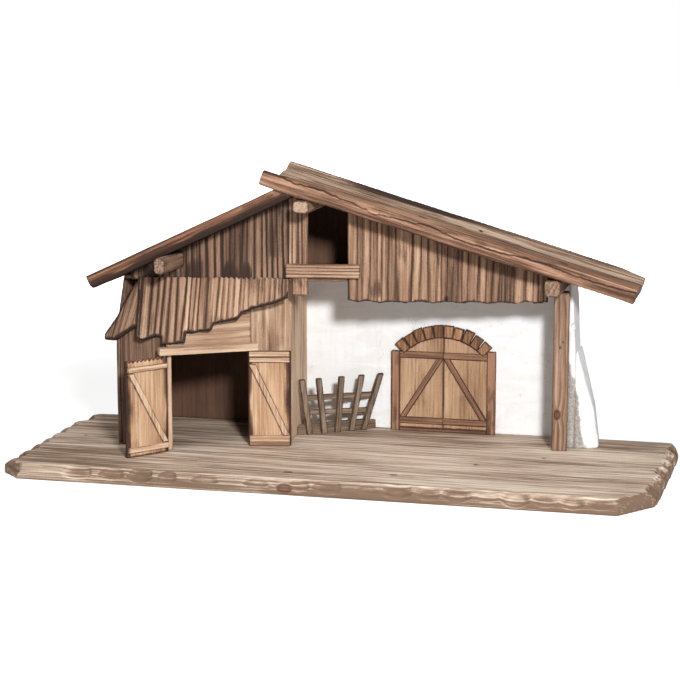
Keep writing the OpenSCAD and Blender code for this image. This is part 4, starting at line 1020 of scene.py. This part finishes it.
def arch_place(at):
    """Each point's block, the turn of its middle, and the point's place beside and along that."""
    across, up = at.across - ARCH_MIDDLE, at.along - ARCH_HEIGHT
    turn = np.degrees(np.arctan2(across, up))
    half = (ARCH_BLOCKS - 1) / 2
    block = np.clip(np.round(turn / ARCH_STEP + half), 0, ARCH_BLOCKS - 1)
    middle = np.radians((block - half) * ARCH_STEP)
    beside = across * np.cos(middle) - up * np.sin(middle)
    out = across * np.sin(middle) + up * np.cos(middle)
    return block, middle, beside, out


def wedges(at):
    """The blocks fan out a little further, each a little askew, and widen outwards, so that
    their joints stay thin."""
    block, middle, beside, out = arch_place(at)
    own = own_value(block, 41)
    wide = beside * (0.09 + 0.2 * np.clip((out - ARCH_RADIUS) / BLOCK_LENGTH, 0, 1))
    lift = (own - 0.5) * 1.6 * rise(out - ARCH_RADIUS, 8, 14)
    spread = middle * ARCH_FAN
    across = (beside + wide) * np.cos(spread) + (out + lift) * np.sin(spread)
    up = -(beside + wide) * np.sin(spread) + (out + lift) * np.cos(spread)
    return (REAR_AXES.across * ((across - (at.across - ARCH_MIDDLE)) * MM)[:, None]
            + REAR_AXES.along * ((up - (at.along - ARCH_HEIGHT)) * MM)[:, None])


def arch_tones(at):
    """A tone of its own for each block."""
    at.tone = 0.9 * (own_value(arch_place(at)[0], 43) - 0.5)
    return near_edges(1.4, 1.0, 256)(at)


def post_tops(at):
    """The posts end just under the arch's lowest blocks."""
    return REAR_AXES.along * (-POST_DROP * rise(at.along, *POST_BAND) * MM)[:, None]


# The barn door's dark outlines are scorch and painted shade in the gaps between parts.
for k, side in enumerate(("left", "right")):
    tilt = -BARN_BRACE[0] if side == "right" else BARN_BRACE[0]
    brace_axes = Axes((tilt, 0, BARN_BRACE[1]), (BARN_BRACE[1], 0, -tilt))
    dress("barn_" + side + "_leaf", "barn", REAR_AXES, voxel=0.6, seed=230 + k,
          rough=0.15, rounds=1, tone=0.15 * k - 0.15,
          scorch_and_shade=both(near_edges(1.5, 0.75, 231), patches(232 + k, 0.25, 14)))
    dress("barn_" + side + "_rails", "barn_dark", Axes(RIGHT, UP),
          voxel=0.5, seed=234 + k, rough=0.15, rounds=1, grow=0.4, scorch_and_shade=near_edges(0.9, 0.9, 235))
    dress("barn_" + side + "_brace", "barn_dark", brace_axes, voxel=0.5,
          seed=238 + k, rough=0.15, rounds=1, grow=0.4, scorch_and_shade=near_edges(0.9, 0.9, 239))
    dress("barn_" + side + "_post", "barn_dark", REAR_AXES, voxel=0.7,
          seed=242 + k, rough=0.2, tone=0.5, grow=0.3, rounds=1, shape=post_tops,
          scorch_and_shade=both(near_edges(1.2, 0.9, 243), patches(244 + k, 0.4, 10)))
dress("barn_threshold", "barn_dark", Axes(RIGHT, UP), voxel=0.8, seed=250,
      rough=0.15, tone=-0.3, scorch_and_shade=near_edges(1.5, 0.9, 251))
dress("arch_blocks", "arch", REAR_AXES, voxel=0.6, seed=255, rough=0.2, rounds=1,
      shape=wedges, scorch_and_shade=arch_tones)


# Hay rack
def picket_tops(at):
    """Scorched upper ends, paler below them."""
    at.tone = -0.1 * rise(at.along, 50, 60)
    return 0.8 * rise(at.n_along, 0.5, 0.9) * rise(at.along, 40, 50)


dress("rack_pickets", "rack", RACK_AXES, voxel=0.55, seed=260, rough=0.2,
      rounds=1, grow=0.4, scorch_and_shade=both(picket_tops, near_edges(1.2, 0.85, 261)))
dress("rack_rails", "rack", BLOCK_AXES, voxel=0.55, seed=265, rough=0.2,
      rounds=1, grow=0.3, tone=-0.05, scorch_and_shade=near_edges(1.2, 0.85, 266))
dress("rack_foot_block", "rack", BLOCK_AXES, voxel=0.8, seed=270, rough=0.3,
      tone=-0.1, scorch_and_shade=both(near_edges(1.5, 0.6, 271), patches(272, 0.3, 10)))


# Pins
def pin_wire():
    """Drawn steel wire for the pins, which keep their solids."""
    material, tree, shader = new_material("pin wire")
    net = Graph(tree)
    place = tree.nodes.new("ShaderNodeTexCoord").outputs["Object"]
    drawn = net.noise(place, (900, 900, 60))
    colour = net.ramp(drawn, [(0.3, (0.36, 0.36, 0.37)), (0.7, (0.52, 0.52, 0.53))])
    net.put(shader.inputs["Base Color"], colour)
    net.put(shader.inputs["Metallic"], 1.0)
    net.put(shader.inputs["Roughness"], net.add(0.28, net.mul(drawn, 0.2)))
    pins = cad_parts["door_pins"]
    pins.data.materials.clear()
    pins.data.materials.append(material)
    for holder in pins.material_slots:
        holder.material = material


pin_wire()


# Floor, light and camera
FLOOR_REACH = 9
FLOOR_COLOUR = (0.62, 0.62, 0.62, 1)
FLOOR_GLOW = 0.62
# The floor brightens to the white of the background between these distances, in metres
GLOW_START = 0.55
GLOW_END = 1.6
FOCAL_PIXELS = 1928.25
IMAGE_PIXELS = 680
SENSOR = 36
CAMERA_PLACE = (0.4942, -2.0071, 0.5086)
CAMERA_PITCH = 79.94
CAMERA_YAW = 13.97
# Colour and strength of the world: what lights the piece, and what the camera sees
WORLD = (((1.0, 0.99, 0.98, 1), 0.22), ((1, 1, 1, 1), 1.0))
# Name, place, target, size and power of each light
LIGHTS = (("key", (0.92, -2.04, 1.08), (0.0, 0.0, 0.12), 0.28, 64),
          ("top", (-0.2, -0.7, 2.3), (0, 0, 0.1), 1.2, 20),
          ("fill", (-1.6, -1.8, 1.2), (0, 0, 0.1), 1.6, 2))


def pale_floor():
    """A white floor that keeps a soft shadow near the piece."""
    material, tree, shader = new_material("floor")
    net = Graph(tree)
    net.put(shader.inputs["Base Color"], FLOOR_COLOUR)
    net.put(shader.inputs["Roughness"], 0.95)
    net.put(shader.inputs["Specular IOR Level"], 0.0)
    away = tree.nodes.new("ShaderNodeVectorMath")
    away.operation = "LENGTH"
    net.put(away.inputs[0], tree.nodes.new("ShaderNodeTexCoord").outputs["Object"])
    glow = net.add(FLOOR_GLOW, net.step(away.outputs["Value"], GLOW_START, GLOW_END))
    seen = tree.nodes.new("ShaderNodeLightPath").outputs["Is Camera Ray"]
    emission = tree.nodes.new("ShaderNodeEmission")
    net.put(emission.inputs["Color"], (1, 1, 1, 1))
    net.put(emission.inputs["Strength"], net.mul(seen, glow))
    total = tree.nodes.new("ShaderNodeAddShader")
    net.put(total.inputs[0], shader.outputs[0])
    net.put(total.inputs[1], emission.outputs[0])
    out = [node for node in tree.nodes if node.type == "OUTPUT_MATERIAL"][0]
    net.put(out.inputs[0], total.outputs[0])
    mesh = bpy.data.meshes.new("floor")
    corners = [(x * FLOOR_REACH, y * FLOOR_REACH, 0) for x, y in ((-1, -1), (1, -1), (1, 1), (-1, 1))]
    mesh.from_pydata(corners, [], [(0, 1, 2, 3)])
    mesh.materials.append(material)
    floor = bpy.data.objects.new("floor", mesh)
    bpy.context.scene.collection.objects.link(floor)


def studio():
    """A white world that the camera sees, and a weak light from it on the piece."""
    world = bpy.data.worlds.new("studio")
    bpy.context.scene.world = world
    world.use_nodes = True
    tree = world.node_tree
    tree.nodes.clear()
    net = Graph(tree)
    mixed = tree.nodes.new("ShaderNodeMixShader")
    net.put(mixed.inputs[0], tree.nodes.new("ShaderNodeLightPath").outputs["Is Camera Ray"])
    for k, (colour, strength) in enumerate(WORLD):
        background = tree.nodes.new("ShaderNodeBackground")
        net.put(background.inputs["Color"], colour)
        net.put(background.inputs["Strength"], strength)
        net.put(mixed.inputs[k + 1], background.outputs[0])
    net.put(tree.nodes.new("ShaderNodeOutputWorld").inputs[0], mixed.outputs[0])


def area(name, place, target, size, power):
    """A round light that faces its target."""
    light = bpy.data.lights.new(name, "AREA")
    light.shape = "DISK"
    light.size = size
    light.energy = power
    holder = bpy.data.objects.new(name, light)
    holder.location = place
    way = Vector(target) - Vector(place)
    holder.rotation_euler = way.to_track_quat("-Z", "Y").to_euler()
    bpy.context.scene.collection.objects.link(holder)


def photo_camera():
    """The camera that the photo's perspective gave."""
    camera = bpy.data.cameras.new("camera")
    camera.sensor_width = SENSOR
    camera.lens = FOCAL_PIXELS * SENSOR / IMAGE_PIXELS
    camera.clip_end = 50
    eye = bpy.data.objects.new("camera", camera)
    eye.location = CAMERA_PLACE
    eye.rotation_euler = (math.radians(CAMERA_PITCH), 0, math.radians(CAMERA_YAW))
    bpy.context.scene.collection.objects.link(eye)
    bpy.context.scene.camera = eye


pale_floor()
studio()
for light in LIGHTS:
    area(*light)
photo_camera()
bpy.context.scene.view_settings.view_transform = "Standard"
